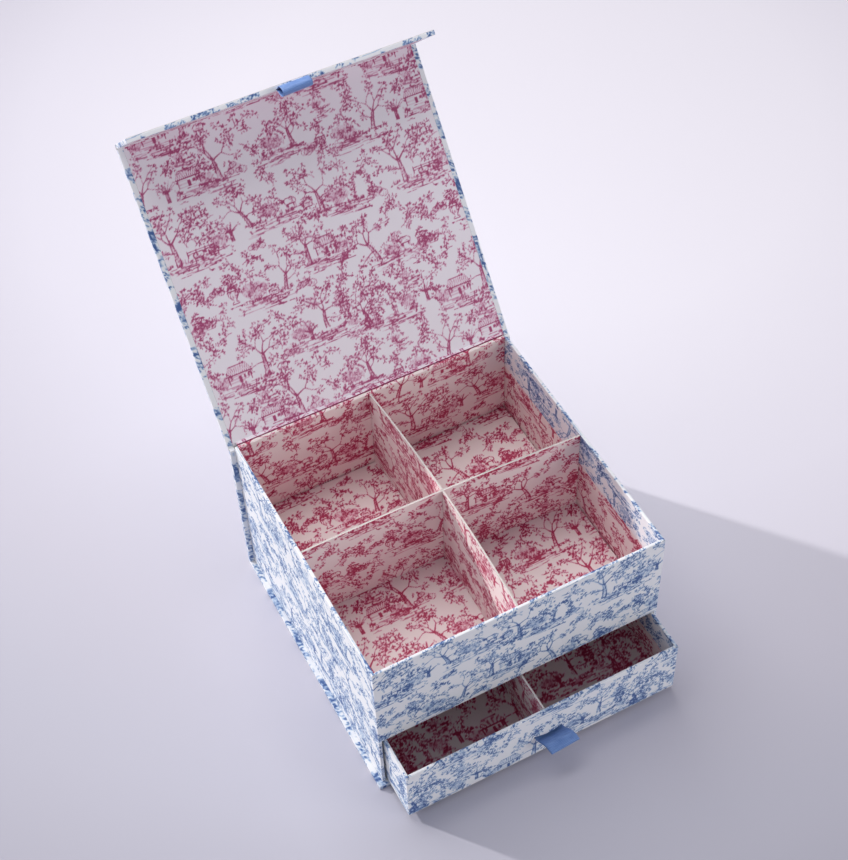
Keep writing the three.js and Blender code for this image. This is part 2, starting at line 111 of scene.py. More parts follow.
# %% [markdown]
# Colours are written as a designer would, as hex sRGB, and one function turns them to the
# linear values that shaders need. One small function adds a node, sets it and joins its inputs.
# _0 and _1 name a socket by its number, for nodes whose sockets share a name, and stops are the
# places and colours of a colour ramp, from its start to its end.

# %% Colour and node helpers
def colour(code):
    channels = [int(code[i:i + 2], 16) / 255 for i in (1, 3, 5)]
    return (*(c / 12.92 if c <= 0.04045 else ((c + 0.055) / 1.055) ** 2.4 for c in channels), 1.0)


def node(tree, kind, settings=None, stops=(), **inputs):
    made = tree.nodes.new("ShaderNode" + kind)
    for key, value in (settings or {}).items():
        setattr(made, key, value)
    for i, (position, code) in enumerate(stops):
        # A new ramp has two stops of its own. More are added.
        stop = made.color_ramp.elements[i] if i < 2 else made.color_ramp.elements.new(position)
        stop.position, stop.color = position, colour(code)
    for key, value in inputs.items():
        socket = made.inputs[int(key[1:]) if key[0] == "_" else key.replace("_", " ")]
        if isinstance(value, bpy.types.Node):
            value = value.outputs[0]
        if isinstance(value, bpy.types.NodeSocket):
            tree.links.new(value, socket)
        else:
            socket.default_value = value
    return made


def new_material(name):
    material = bpy.data.materials.new(name)
    material.use_nodes = True
    material.node_tree.nodes.clear()
    return material, material.node_tree


print("helpers ready")

# %% [markdown]
# Printed cover paper. The real one is uncoated white paper, offset printed in one ink, then
# glued over the boards. Paper has a soft, nearly matt surface (roughness about 0.6), a faint
# fibre tooth, and cut edges that show bare white. A picture could carry the drawing, but here
# each sheet is a fine net of points, and every point knows how much ink it carries in an
# attribute called ink. The shader mixes paper and ink by it, and lets the ink vary a little,
# as a press does: over some 20 mm, and in grains of half a millimetre.

# %% Printed paper material
def printed_paper(name, ground, pale, middle, ink_colour, load=1.0):
    material, tree = new_material(name)
    place = node(tree, "TexCoord").outputs["Object"]
    amount = node(tree, "Attribute", {"attribute_name": "ink"}).outputs["Fac"]
    for size_mm, least in ((20, 0.82), (0.5, 0.86)):
        uneven = node(tree, "TexNoise", Vector=place, Scale=1 / (size_mm * MM), Detail=2.0)
        share = node(tree, "MapRange", Value=uneven, From_Min=0.3, From_Max=0.7, To_Min=least)
        amount = node(tree, "Math", {"operation": "MULTIPLY"}, _0=amount, _1=share)
    levels = ((0.05, ground), (0.25, pale), (0.42, middle), (0.66, ink_colour))
    tone = node(tree, "ValToRGB", stops=[(at / load, code) for at, code in levels], Fac=amount)
    fibre = node(tree, "TexNoise", Vector=place, Scale=1 / (0.7 * MM), Detail=4.0)
    bump = node(tree, "Bump", Height=fibre, Strength=0.12, Distance=0.02 * MM)
    rough = node(tree, "MapRange", Value=amount, To_Min=0.62, To_Max=0.5)
    surface = node(tree, "BsdfPrincipled", Base_Color=tone, Roughness=rough, Normal=bump,
                   IOR=1.48, Sheen_Weight=0.05)
    node(tree, "OutputMaterial", Surface=surface)
    return material


blue_paper = printed_paper("blue_printed_cover_paper", "#EFF0F4", "#CCD8E6", "#9DB5D7", "#3C5D98")
# The crimson print comes as two copies of one paper. The lid's and flap's copy is paler and more
# lavender, a painted sheen of the light it reflects. The tray's and drawer's copy is more heavily
# inked: partly a denser print, and partly painted shade for the tray's reddish bounce light.
lining_print_painted_sheen = printed_paper("crimson_printed_lining_paper", "#F1EAF1", "#E6CBDA", "#D59CB8",
                          "#A83E70")
heavy_tray_print_painted_shade = printed_paper("crimson_printed_tray_paper", "#F6E9E6", "#EAC7CE", "#D98CA2", "#B02450",
                           load=1.1)

# %% [markdown]
# Bare paper shows only at cut edges and on the sheets' backs: the same stock without ink, a
# little yellower where the cut opens its fibres.

# %% Bare stocks
def plain_stock(name, base, deep, grain_mm, roughness):
    material, tree = new_material(name)
    place = node(tree, "TexCoord").outputs["Object"]
    fibre = node(tree, "TexNoise", Vector=place, Scale=1 / (grain_mm * MM), Detail=5.0)
    tone = node(tree, "ValToRGB", stops=((0.35, deep), (0.65, base)), Fac=fibre)
    bump = node(tree, "Bump", Height=fibre, Strength=0.25, Distance=0.05 * MM)
    surface = node(tree, "BsdfPrincipled", Base_Color=tone, Roughness=roughness, Normal=bump,
                   IOR=1.48)
    node(tree, "OutputMaterial", Surface=surface)
    return material


bare_paper = plain_stock("bare_paper_edge", "#DED8D4", "#CCC5C0", 0.8, 0.75)
grey_board = plain_stock("greyboard", "#A49E93", "#8C867B", 1.2, 0.9)
bay_paper = plain_stock("plain_lining_paper", "#EDEAE6", "#E2DEDA", 1.5, 0.7)
print("bare stocks ready")

# %% [markdown]
# The print is a repeating country scene, such as furnishing cottons have carried for two
# centuries: trees, bushes, sprays of leaves, a garden arch, a cottage, an urn, sheep and birds
# on small tufts of ground. It is drawn here from strokes, like an engraver's: a leaf is a short
# dab, a twig a thin tapered line, and shade a patch of short parallel cuts with paper between
# them. The repeat is 160 mm square. Every shape is a small polygon in millimetres with an ink
# level from 0 to 1.

# %% Engraver's strokes
REPEAT = 160.0
LEAF_ROOM = 1.45
UPWARDS = 1.57
draw = random.Random(7)
rand = draw.uniform
shapes, taken = [], set()


def around(x, y, angle, wide, high=None):
    """The place at an angle on an ellipse, or a circle, about x, y."""
    return x + wide * cos(angle), y + (wide if high is None else high) * sin(angle)


def placed(x, y, size, outline, way=1):
    """An outline's points, scaled and set at x, y; way -1 mirrors them."""
    return [(x + way * a * size, y + b * size) for a, b in outline]


def ink_shape(points, level):
    shapes.append((points, level))


def stroke(points, start_width, end_width, level):
    left, right = [], []
    last = len(points) - 1
    for i, (x, y) in enumerate(points):
        (ax, ay), (bx, by) = points[max(i - 1, 0)], points[min(i + 1, last)]
        length = hypot(bx - ax, by - ay) or 1.0
        half = (start_width + (end_width - start_width) * i / last) / 2
        nx, ny = -(by - ay) / length * half, (bx - ax) / length * half
        left.append((x + nx, y + ny))
        right.append((x - nx, y - ny))
    ink_shape(left + right[::-1], level)


def dab(x, y, angle, length, width, level):
    c, s = cos(angle), sin(angle)
    outline = ((0, 0), (0.35, 0.5), (0.75, 0.4), (1, 0), (0.7, -0.42), (0.3, -0.45))
    ink_shape([(x + c * a * length - s * b * width, y + s * a * length + c * b * width)
               for a, b in outline], level)


def bent(x, y, angle, length, turn, steps=4):
    points = [(x, y)]
    for i in range(steps):
        angle += turn / steps
        x += cos(angle) * length / steps
        y += sin(angle) * length / steps
        points.append((x, y))
    return points, angle


def hatch(x, y, wide, high, angle, level=0.55, gap=1.15):
    """Short parallel cuts that fill a rounded patch, with paper left between them."""
    c, s = cos(angle), sin(angle)
    reach = hypot(wide, high)
    k = -reach
    while k < reach:
        # One cut runs along the angle at distance k, as far as the patch's rounded edge.
        spots = [t for t in np.linspace(-reach, reach, 25)
                 if ((c * t - s * k) / wide) ** 2 + ((s * t + c * k) / high) ** 2 < rand(0.7, 1.1)]
        if len(spots) > 2:
            a, b = spots[0], spots[-1]
            middle, bow = rand(0.35, 0.65), rand(-0.35, 0.35)
            for p, q in ((a, a + (b - a) * (middle - 0.05)), (a + (b - a) * (middle + 0.05), b)):
                points = [(x + c * t - s * (k + bow), y + s * t + c * (k + bow))
                          for t in (p, (p + q) / 2 + bow, q)]
                stroke(points, rand(0.45, 0.7), rand(0.3, 0.5), level * rand(0.75, 1.1))
        k += gap * rand(0.8, 1.25)


def curls(x, y, wide, high, count, level=0.9):
    """Small open loops, as an engraver draws a mass of leaves."""
    for _ in range(count):
        a, r = rand(0, tau), sqrt(draw.random())
        points, _end = bent(*around(x, y, a, wide * r, high * r), rand(0, 3.0), rand(2.4, 4.4),
                            draw.choice((-1, 1)) * rand(2.2, 4.2), 6)
        stroke(points, 0.6, 0.35, level * rand(0.75, 1.0))


def leaf(x, y, angle, length, width, level):
    """A dab that stays away where another leaf lies, so that paper shows between leaves."""
    spot = tuple(round(p / LEAF_ROOM) for p in around(x, y, angle, length / 2))
    if spot not in taken:
        taken.add(spot)
        dab(x, y, angle, length, width, level)


def spray(x, y, angle, size=1.0):
    """Three or four leaves that spread from one point."""
    count = draw.randint(3, 4)
    for k in range(count):
        a = angle + (k - (count - 1) / 2) * rand(0.6, 0.95)
        leaf(*around(x, y, a, 0.4), a, rand(1.6, 2.4) * size, rand(0.75, 1.05) * size,
             rand(0.75, 1.0))


def leaves(x, y, size, count):
    for _ in range(count):
        a = rand(0, tau)
        r = size * sqrt(draw.random())
        leaf(*around(x, y, a, r, 0.8 * r), a + rand(-0.7, 0.7), rand(1.5, 2.4), rand(0.7, 1.0),
             rand(0.65, 1.0))


def sprig(x, y, angle, length, turn=0.5, branch=True):
    steps = max(3, round(length / 2.0))
    points, _end = bent(x, y, angle, length, turn, steps)
    stroke(points, 0.6, 0.3, 0.8)
    for i, (px, py) in enumerate(points[1:]):
        way = angle + turn * (i + 1) / steps
        side = 1 if i % 2 else -1
        reach = rand(0.8, 1.8)
        a = way + side * rand(0.6, 1.1)
        tip = around(px, py, a, reach)
        stroke([(px, py), tip], 0.45, 0.3, 0.8)
        spray(*tip, a, rand(0.75, 1.0))
        if branch and draw.random() < 0.3 and length > 6:
            sprig(px, py, way - side * 0.9, length * 0.45, -turn, False)
    spray(*points[-1], angle + turn)


def grass(x, y, high):
    for _ in range(draw.randint(3, 6)):
        points, _end = bent(x + rand(-1.2, 1.2), y, UPWARDS + rand(-0.6, 0.6),
                            high * rand(0.6, 1.0), rand(-0.7, 0.7), 3)
        stroke(points, 0.55, 0.25, 0.85)


def ground(x, y, wide, slope=0.0):
    for k in range(22):
        length = wide * rand(0.12, 0.42)
        left = x - wide / 2 + rand(0, wide - length)
        low = y - 0.75 * (k // 2) + slope * (left - x) + rand(-0.3, 0.3)
        points = [(left + length * t / 4, low + slope * length * t / 4 + rand(-0.4, 0.4))
                  for t in range(5)]
        stroke(points, rand(0.2, 0.45), rand(0.4, 0.7), rand(0.45, 1.0))
    hatch(x + wide * rand(-0.2, 0.2), y - 2.5, wide * 0.3, 2.2, slope, 0.55)
    for _ in range(int(wide / 4)):
        grass(x + rand(-0.45, 0.45) * wide, y - rand(0, 2), rand(2, 3.6))
    for _ in range(int(wide / 2.4)):
        spray(x + rand(-0.5, 0.5) * wide, y - rand(0.5, 6.5), rand(0, 3.1), 0.85)


print("strokes ready")

# %% [markdown]
# Trees are drawn as an engraver would: a trunk between two lines, boughs that fork, and at each
# end a knot of curls with dark sprays of leaves over it. Bushes are mounds of curls and cuts.

# %% Trees and bushes
def wash(x, y, wide, high, level=0.2, corners=13):
    """A pale even tint under a mass, where the finest cuts of an engraving run together."""
    reaches = [rand(0.7, 1.1) for _ in range(corners)]
    ink_shape([around(x, y, k * tau / corners, wide * r, high * r)
               for k, r in enumerate(reaches)], level)


def crown(x, y, size):
    wash(x, y, size * 1.1, size * 0.8, 0.16, 9)
    if draw.random() < 0.6:
        hatch(x, y, size * 0.9, size * 0.6, rand(0, 3), 0.4)
    curls(x, y, size * 0.7, size * 0.5, 1 + int(size * 0.5), 0.6)
    for _ in range(2 + int(size)):
        a = rand(0, tau)
        r = size * rand(0.5, 1.2)
        spray(*around(x, y, a, r, 0.8 * r), a, rand(0.75, 0.95))


def bough(x, y, angle, length, width, depth):
    points, end = bent(x, y, angle, length, rand(-0.6, 0.6), 3)
    stroke(points, width, width * 0.55, 0.9)
    if depth == 0:
        if draw.random() < 0.45:
            crown(*points[-1], rand(1.6, 2.6))
        sprig(*points[-1], end + rand(-0.5, 0.5), rand(5, 9), rand(-0.8, 0.8), False)
        return
    for turn in (-0.7, 0.6) if draw.random() < 0.8 else (-0.9, 0.0, 0.85):
        bough(*points[-1], end + turn + rand(-0.25, 0.25), length * rand(0.6, 0.85), width * 0.6,
              depth - 1)


def oak(x, y, high, lean=0.0):
    width = high * 0.075
    points, end = bent(x, y, UPWARDS + lean, high * 0.4, rand(-0.5, 0.5), 5)
    for shift, thick, level in ((-0.45, 0.6, 1.0), (-0.15, 0.35, 0.5), (0.15, 0.4, 0.6),
                                (0.45, 0.75, 1.0)):
        stroke([(px + width * shift * (1.3 - 0.12 * i), py) for i, (px, py) in enumerate(points)],
               thick, thick * 0.8, level)
    for k in range(int(high / 3)):
        px, py = points[1 + k % 4]
        stroke([(px - width * 0.3, py + k * 0.5), (px + width * 0.35, py + k * 0.5 + 0.8)],
               0.4, 0.3, 0.8)
    for turn in (-0.95, 0.0, 0.85):
        bough(*points[-1], end + turn, high * rand(0.18, 0.26), width * 0.45, 1)
    bough(*points[3], end + draw.choice((-1.3, 1.2)), high * 0.2, width * 0.35, 0)


def bush(x, y, wide, high):
    wash(x, y + high * 0.42, wide * 0.46, high * 0.44)
    hatch(x + wide * 0.1, y + high * 0.35, wide * 0.4, high * 0.34, rand(0.6, 1.2), 0.6)
    hatch(x - wide * 0.22, y + high * 0.5, wide * 0.24, high * 0.3, rand(-1.2, -0.6), 0.5)
    curls(x, y + high * 0.45, wide * 0.45, high * 0.45, int(wide * high * 0.12), 0.75)
    for k in range(int(wide * 0.7)):
        a = pi * (k + 0.5) / int(wide * 0.7)
        spray(x - wide * 0.5 * cos(a), y + high * (0.45 + 0.5 * sin(a)), pi - a, 0.95)
    for _ in range(int(wide * high * 0.05)):
        spray(x + wide * rand(-0.4, 0.4), y + high * rand(0.1, 0.8), rand(0, 6.28), 0.9)
    for _ in range(3):
        sprig(x + wide * rand(-0.4, 0.4), y + high * 0.8, rand(0.8, 2.3), rand(4, 7),
              rand(-0.8, 0.8), False)


print("plants ready")

# %% [markdown]
# The things between the plants are this box's own plain motifs: a leafy arch, a thatched
# cottage, an urn on a plinth, sheep, rocks, stumps, baskets, a rail fence and birds.

# %% Small things of the country
def arch(x, y, wide, high):
    half = wide / 2
    for step in range(30):
        t = step / 29
        if t < 0.25 or t > 0.75:
            side = -1 if t < 0.25 else 1
            px, py = x + side * half, y + high * 0.6 * (t if t < 0.5 else 1 - t) * 4
        else:
            px, py = around(x, y + high * 0.6, pi * (1 - (t - 0.25) * 2), half, high * 0.4)
        curls(px, py, 1.4, 1.3, 2, 0.8)
        spray(px, py, rand(0, tau), 0.9)
        if step % 4 == 0:
            leaves(px, py, 2.2, 3)


def block(x0, y0, x1, y1, level):
    ink_shape([(x0, y0), (x1, y0), (x1, y1), (x0, y1)], level)


def cottage(x, y, wide, high):
    w, wall = wide / 2, high * 0.5
    for k in range(6):
        shade = y + wall * (k + 0.5) / 6
        stroke([(x - w, shade), (x + w * rand(-0.2, 0.9), shade)], 0.35, 0.25, 0.5)
    for k in range(13):
        t = -1.15 + 2.3 * k / 12
        stroke([(x + t * w, y + wall), (x + t * w * 0.68 + rand(-0.2, 0.2), y + high)],
               0.5, 0.35, 0.85)
    for px in (-w, w):
        stroke([(x + px, y), (x + px, y + wall)], 0.55, 0.55, 1.0)
    stroke([(x - w * 1.2, y + wall), (x + w * 1.2, y + wall)], 0.7, 0.7, 1.0)
    stroke([(x - w * 0.75, y + high), (x + w * 0.75, y + high)], 0.7, 0.6, 1.0)
    block(x - 1, y, x + 1, y + wall * 0.7, 0.95)
    for px in (0.35, 0.7):
        block(x + w * px, y + wall * 0.35, x + w * (px + 0.2), y + wall * 0.75, 0.8)


def urn(x, y, high):
    s = high / 10
    profile = ((1.6, 0), (1.6, 0.8), (0.6, 1.4), (0.7, 2), (2.2, 4), (2.5, 6), (1.5, 7.4), (2, 8.2))
    stroke(placed(x, y, s, profile), 0.65, 0.6, 1.0)
    stroke(placed(x, y, s, profile, -1), 0.5, 0.5, 1.0)
    for a in (-1.2, -0.5, 0.2, 0.8, 1.3):
        stroke(placed(x, y, s, ((a * 0.9, 2.6), (a * 1.5, 6.2))), 0.4, 0.35, 0.8)
    for a, b in ((1.7, 0.2), (2.3, 6.2), (1.8, 7.8)):
        stroke(placed(x, y, s, ((-a, b), (a, b))), 0.55, 0.5, 0.9)
    for turn in (-1.0, -0.35, 0.35, 1.0):
        sprig(x, y + high * 0.8, UPWARDS + turn, high * 0.5, -turn, False)


def sheep(x, y, size, way):
    s = size / 8
    back = ((-3, 2.2), (-3.4, 4), (-2, 5.3), (0, 5.1), (1.6, 5.4), (2.8, 4.8), (2.8, 3), (2, 2.1),
            (-3, 2.2))
    stroke(placed(x, y, s, back, way), 0.5, 0.5, 1.0)
    dab(x + way * 2.4 * s, y + 4.8 * s, pi / 2 - way * 1.9, 2.7 * s, 1.6 * s, 0.9)
    for a in (-2.6, -1.7, 1.3, 2.1):
        stroke(placed(x, y, s, ((a, 2.4), (a, 0)), way), 0.6, 0.45, 1.0)
    curls(x, y + 3.7 * s, 2.2 * s, 1.1 * s, 5, 0.7)
    hatch(x - way * s, y + 2.9 * s, 1.8 * s, 0.7 * s, 0.3, 0.6, 0.9)


def rocks(x, y, wide, high):
    """A heap of boulders: each has a crooked outline and cuts on its shaded side."""
    wash(x, y + high * 0.4, wide * 0.5, high * 0.5, 0.18)
    count = int(wide / 2.2)
    for k in range(count):
        t = (k + 0.5) / count
        px, py = x + wide * (t - 0.5), y + high * rand(0.1, 0.7) * sin(pi * t)
        size = rand(1.8, 3.2)
        reaches = [rand(0.75, 1.1) for _ in range(7)]
        rim = [around(px, py, m * tau / 7 + 0.4, size * r, 0.75 * size * r)
               for m, r in enumerate(reaches)]
        stroke(rim + rim[:1], 0.55, 0.5, 0.8)
        hatch(px + size * 0.25, py - size * 0.15, size * 0.6, size * 0.45, 1.0, 0.6, 0.95)
    for _ in range(int(wide / 2)):
        spray(x + wide * rand(-0.5, 0.5), y + high * rand(0.2, 0.9), rand(0.4, 2.7), 0.9)


def stump(x, y, high):
    """A broken trunk that throws out thin bare twigs."""
    for shift, thick in ((-0.9, 0.7), (-0.2, 0.4), (0.4, 0.4), (0.9, 0.8)):
        stroke([(x + shift * 1.2, y), (x + shift * 0.8, y + high * 0.3),
                (x + shift * 1.0, y + high * 0.5)], thick, thick * 0.8, 0.9)
    hatch(x + 0.3, y + high * 0.25, 1.0, high * 0.22, 0.5, 0.6)
    for k in range(11):
        a = 0.25 + 2.6 * k / 10 + rand(-0.1, 0.1)
        points, _end = bent(x, y + high * 0.45, a, high * rand(0.3, 0.62), rand(-0.4, 0.4), 3)
        stroke(points, 0.75, 0.25, 0.85)
        if k % 3 == 1:
            spray(*points[-1], a, 0.8)


def basket(x, y, size):
    """A round basket full of leaves and fruit."""
    s = size / 6
    rim = [around(x, y + 3 * s, a, 3 * s, 0.7 * s) for a in np.linspace(0, tau, 13)]
    stroke(rim, 0.5, 0.5, 0.9)
    stroke(placed(x, y, s, ((-3, 3), (-2.2, 0), (2.2, 0), (3, 3))), 0.6, 0.6, 1.0)
    hatch(x, y + 1.4 * s, 2.3 * s, 1.2 * s, 0.8, 0.6, 0.9)
    hatch(x, y + 1.4 * s, 2.3 * s, 1.2 * s, -0.8, 0.5, 1.1)
    curls(x, y + 3.7 * s, 2.2 * s, 0.9 * s, 5, 0.9)
    for k in range(4):
        spray(x + s * (k - 1.5) * 1.3, y + 4.3 * s, UPWARDS - (k - 1.5) * 0.4, 0.8)


def fence(x, y, wide):
    for k in range(4):
        px = x + wide * (k / 3 - 0.5)
        stroke([(px, y - 0.5), (px + 0.3, y + 4.6)], 0.8, 0.65, 0.9)
    for h in (1.6, 3.3):
        stroke([(x - wide / 2, y + h), (x, y + h + 0.3), (x + wide / 2, y + h)], 0.55, 0.5, 0.95)


def bird(x, y, size, way):
    for a in (0.5, 2.4):
        points, _end = bent(x, y, a, size, way * 0.8, 3)
        stroke(points, 0.7, 0.3, 1.0)
    dab(x, y - 0.2, 0.2 * way, size * 0.7, 0.7, 1.0)


print("motifs ready")

# %% [markdown]
# The repeat is composed like the real one: islands of ground in staggered rows with something
# on each, and long leafy sprigs and birds that fill what is left between them. Each motif is
# followed by its place and its size in millimetres, and its slope, lean or way.

# %% Compose the repeat
ISLANDS = (
    (ground, 20, 16, 44, 0.05), (arch, 16, 18, 14, 18), (bush, 33, 17, 15, 10),
    (oak, 4, 16, 24, 0.15), (bush, 6, 14, 10, 7),
    (ground, 76, 10, 48, -0.04), (cottage, 70, 12, 15, 12), (oak, 88, 11, 32, -0.1),
    (bush, 57, 11, 13, 10), (sheep, 99, 8, 9, 1),
    (ground, 130, 22, 44, 0.08), (bush, 118, 22, 17, 12), (oak, 136, 24, 28, 0.2),
    (urn, 151, 26, 13),
    (ground, 40, 54, 50, 0.06), (oak, 24, 52, 34, 0.12), (sheep, 44, 55, 10, -1),
    (sheep, 56, 55, 9, 1), (bush, 34, 53, 14, 9),
    (ground, 102, 58, 46, -0.05), (bush, 98, 59, 20, 14), (oak, 118, 57, 26, -0.2),
    (urn, 84, 60, 14),
    (ground, 150, 68, 40, 0.02), (cottage, 152, 70, 14, 11), (oak, 139, 68, 28, 0.1),
    (bush, 162, 68, 12, 9),
    (ground, 14, 96, 44, -0.06), (bush, 10, 97, 18, 12), (arch, 28, 95, 12, 16),
    (oak, -2, 97, 30, -0.1),
    (ground, 70, 96, 48, 0.07), (oak, 58, 95, 36, -0.12), (fence, 74, 98, 18),
    (bush, 88, 98, 14, 10), (sheep, 72, 94, 9, 1),
    (ground, 126, 104, 44, 0.04), (oak, 110, 103, 28, 0.2), (bush, 124, 104, 18, 12),
    (sheep, 139, 105, 10, -1),
    (ground, 36, 134, 48, 0.05), (bush, 28, 133, 20, 13), (oak, 48, 134, 28, -0.15),
    (urn, 12, 133, 13),
    (ground, 92, 138, 46, -0.05), (oak, 102, 137, 32, 0.1), (cottage, 82, 140, 14, 11),
    (bush, 93, 138, 12, 9),
    (ground, 144, 142, 42, 0.06), (bush, 140, 143, 18, 12), (oak, 154, 143, 24, 0.25))
SPRIGS = ((50, 30, 0.4), (110, 40, 2.6), (8, 68, 0.9), (64, 74, 2.4), (128, 86, 0.5),
          (44, 112, 2.9), (4, 124, 0.6), (112, 124, 2.3), (66, 152, 0.3), (20, 40, 2.7),
          (84, 34, 1.0), (158, 48, 2.2), (96, 82, 0.7), (66, 122, 0.8), (156, 120, 2.5),
          (120, 4, 0.6), (42, 0, 2.6), (142, 46, 0.8), (78, 46, 2.0), (36, 80, 0.4),
          (60, 36, 2.2), (14, 30, 0.3), (104, 24, 1.2), (48, 70, 0.6), (130, 124, 1.9),
          (86, 120, 2.7), (16, 116, 1.4), (150, 92, 0.9), (80, 70, 0.4), (116, 154, 2.0),
          (30, 152, 0.7), (158, 4, 1.8), (70, 54, 2.6), (118, 44, 0.4))
BIRDS = ((48, 42), (112, 50), (30, 118), (128, 132), (76, 86), (148, 94), (56, 22), (2, 50))
LATER = (
    (rocks, 108, 16, 14, 7), (stump, 47, 16, 14), (basket, 82, 95, 7), (rocks, 60, 52, 13, 7),
    (stump, 124, 20, 12), (basket, 110, 57, 7), (rocks, 36, 93, 12, 7), (stump, 96, 98, 13),
    (rocks, 112, 138, 13, 8), (stump, 66, 134, 14), (basket, 150, 102, 7), (rocks, 4, 134, 12, 7))


def fill_gaps(least=5.0, cell=2.0):
    """Find the widest bare place of the repeat and grow something there, until none is wide."""
    marked, side = 0, int(REPEAT / cell)
    used = np.zeros((side, side), bool)
    for step in range(200):
        for points, _level in shapes[marked:]:
            spots = np.mod(np.array(points), REPEAT) / cell
            used[spots[:, 0].astype(int) % side, spots[:, 1].astype(int) % side] = True
        marked = len(shapes)
        wide = np.zeros((side, side), int)
        grown, reach = used.copy(), 0
        while not grown.all():
            reach += 1
            wide[~grown] = reach
            grown = grown | sum(np.roll(grown, s, a) for s in (-1, 1) for a in (0, 1)).astype(bool)
        if wide.max() * cell < least:
            break
        x, y = (np.argwhere(wide == wide.max())[0] + 0.5) * cell
        kind = step % 5
        if kind == 0:
            ground(x, y, rand(14, 20), rand(-0.1, 0.1))
            bush(x - 2, y, 9, 6)
        elif kind == 3:
            rocks(x, y - 2, rand(9, 12), 5)
            grass(x + 3, y, 5)
        else:
            a = rand(0, tau)
            sprig(x - 5 * cos(a), y - 5 * sin(a), a, rand(9, 13), rand(-1.2, 1.2))
    print("filled", step, "gaps")


for motif, *numbers in ISLANDS:
    motif(*numbers)
for x, y, a in SPRIGS:
    sprig(x, y, a, rand(9, 15), rand(-1.2, 1.2))
    sprig(x + rand(-4, 4), y - 2, a + rand(-1.2, 1.2), rand(5, 8), 0.6)
for x, y in BIRDS:
    bird(x, y, rand(2.6, 3.6), draw.choice((-1, 1)))
for motif, *numbers in LATER:
    motif(*numbers)
fill_gaps()
print("the repeat holds", len(shapes), "ink shapes")

# %% [markdown]
# The plate. Like a printing plate, the repeat is first drawn once onto a fine grid, four dots
# to a millimetre. Each shape keeps the darkest ink, and what runs over an edge comes back on
# the other side, so that the repeat joins up.

# %% Engrave the plate
DOTS = 4
side_dots = int(REPEAT * DOTS)
plate = np.zeros((side_dots, side_dots), np.float32)
for points, level in shapes:
    corners = np.array(points) * DOTS
    low = np.floor(corners.min(0)).astype(int)
    high = np.ceil(corners.max(0)).astype(int) + 1
    gx, gy = np.meshgrid(np.arange(low[0], high[0]) + 0.5, np.arange(low[1], high[1]) + 0.5)
    within = np.zeros(gx.shape, bool)
    for (ax, ay), (bx, by) in zip(corners, np.roll(corners, -1, 0)):
        if ay != by:
            crosses = (ay > gy) != (by > gy)
            within ^= crosses & (gx < (bx - ax) * (gy - ay) / (by - ay) + ax)
    rows = np.mod(np.arange(low[1], high[1]), side_dots)[:, None]
    columns = np.mod(np.arange(low[0], high[0]), side_dots)[None, :]
    plate[rows, columns] = np.maximum(plate[rows, columns], within * np.float32(level))
# A sheet's net is coarser than the plate, so each dot first takes in its neighbours.
plate = sum(np.roll(plate, shift, axis) for axis in (0, 1) for shift in (-1, 0, 1)) / 6
print("plate", plate.shape, "mean ink", round(float(plate.mean()), 3))


def print_at(x, y):
    """The plate's ink at places in millimetres, between its dots."""
    x, y = np.mod(x * DOTS - 0.5, side_dots), np.mod(y * DOTS - 0.5, side_dots)
    x0, y0 = np.floor(x).astype(int) % side_dots, np.floor(y).astype(int) % side_dots
    x1, y1 = (x0 + 1) % side_dots, (y0 + 1) % side_dots
    fx, fy = x - np.floor(x), y - np.floor(y)
    return ((plate[y0, x0] * (1 - fx) + plate[y0, x1] * fx) * (1 - fy)
            + (plate[y1, x0] * (1 - fx) + plate[y1, x1] * fx) * fy)


# %% [markdown]
# A sheet is a net of small squares, cut flat and folded, as a bookbinder does. v runs along a
# path of points round the board and u runs straight across, so that across times the path's
# way is the printed side. Windows are cut out of the net, and one wide face a side closes the
# rim and the back, so the sheet is a solid as thick as its paper. Up in the print is along v,
# or along u or -u where turn is 1 or -1. A crease that is pressed together as photographed has
# a pace, how far its print runs once it is stretched.

# %% Cut and fold a sheet
SEEN, PART_SEEN, UNSEEN = 0.65, 0.8, 1.2


def path_frame(path, facing):
    """Lengths along a path, and the direction away from the board at each of its points."""
    lengths = np.concatenate([[0.0], np.cumsum([(b - a).length for a, b in zip(path, path[1:])])])
    ways = [(b - a).normalized() for a, b in zip(path, path[1:])]
    outs = []
    for i in range(len(path)):
        n0 = facing.cross(ways[max(i - 1, 0)])
        n1 = facing.cross(ways[min(i, len(ways) - 1)])
        total = (n0 + n1).normalized()
        outs.append(total / max(total.dot(n0), 0.5))
    return lengths, np.array(outs)


def split(breaks, cell):
    """Breaks with even steps between them, and where each break falls among the steps."""
    values, marks = [breaks[0]], [0]
    for a, b in zip(breaks, breaks[1:]):
        count = max(1, round((b - a) / cell))
        values += [a + (b - a) * k / count for k in range(1, count + 1)]
        marks.append(len(values) - 1)
    return np.array(values), marks


def merge_close(values):
    kept = []
    for value in sorted(values):
        if not kept or value - kept[-1] > 1e-4:
            kept.append(value)
    return kept


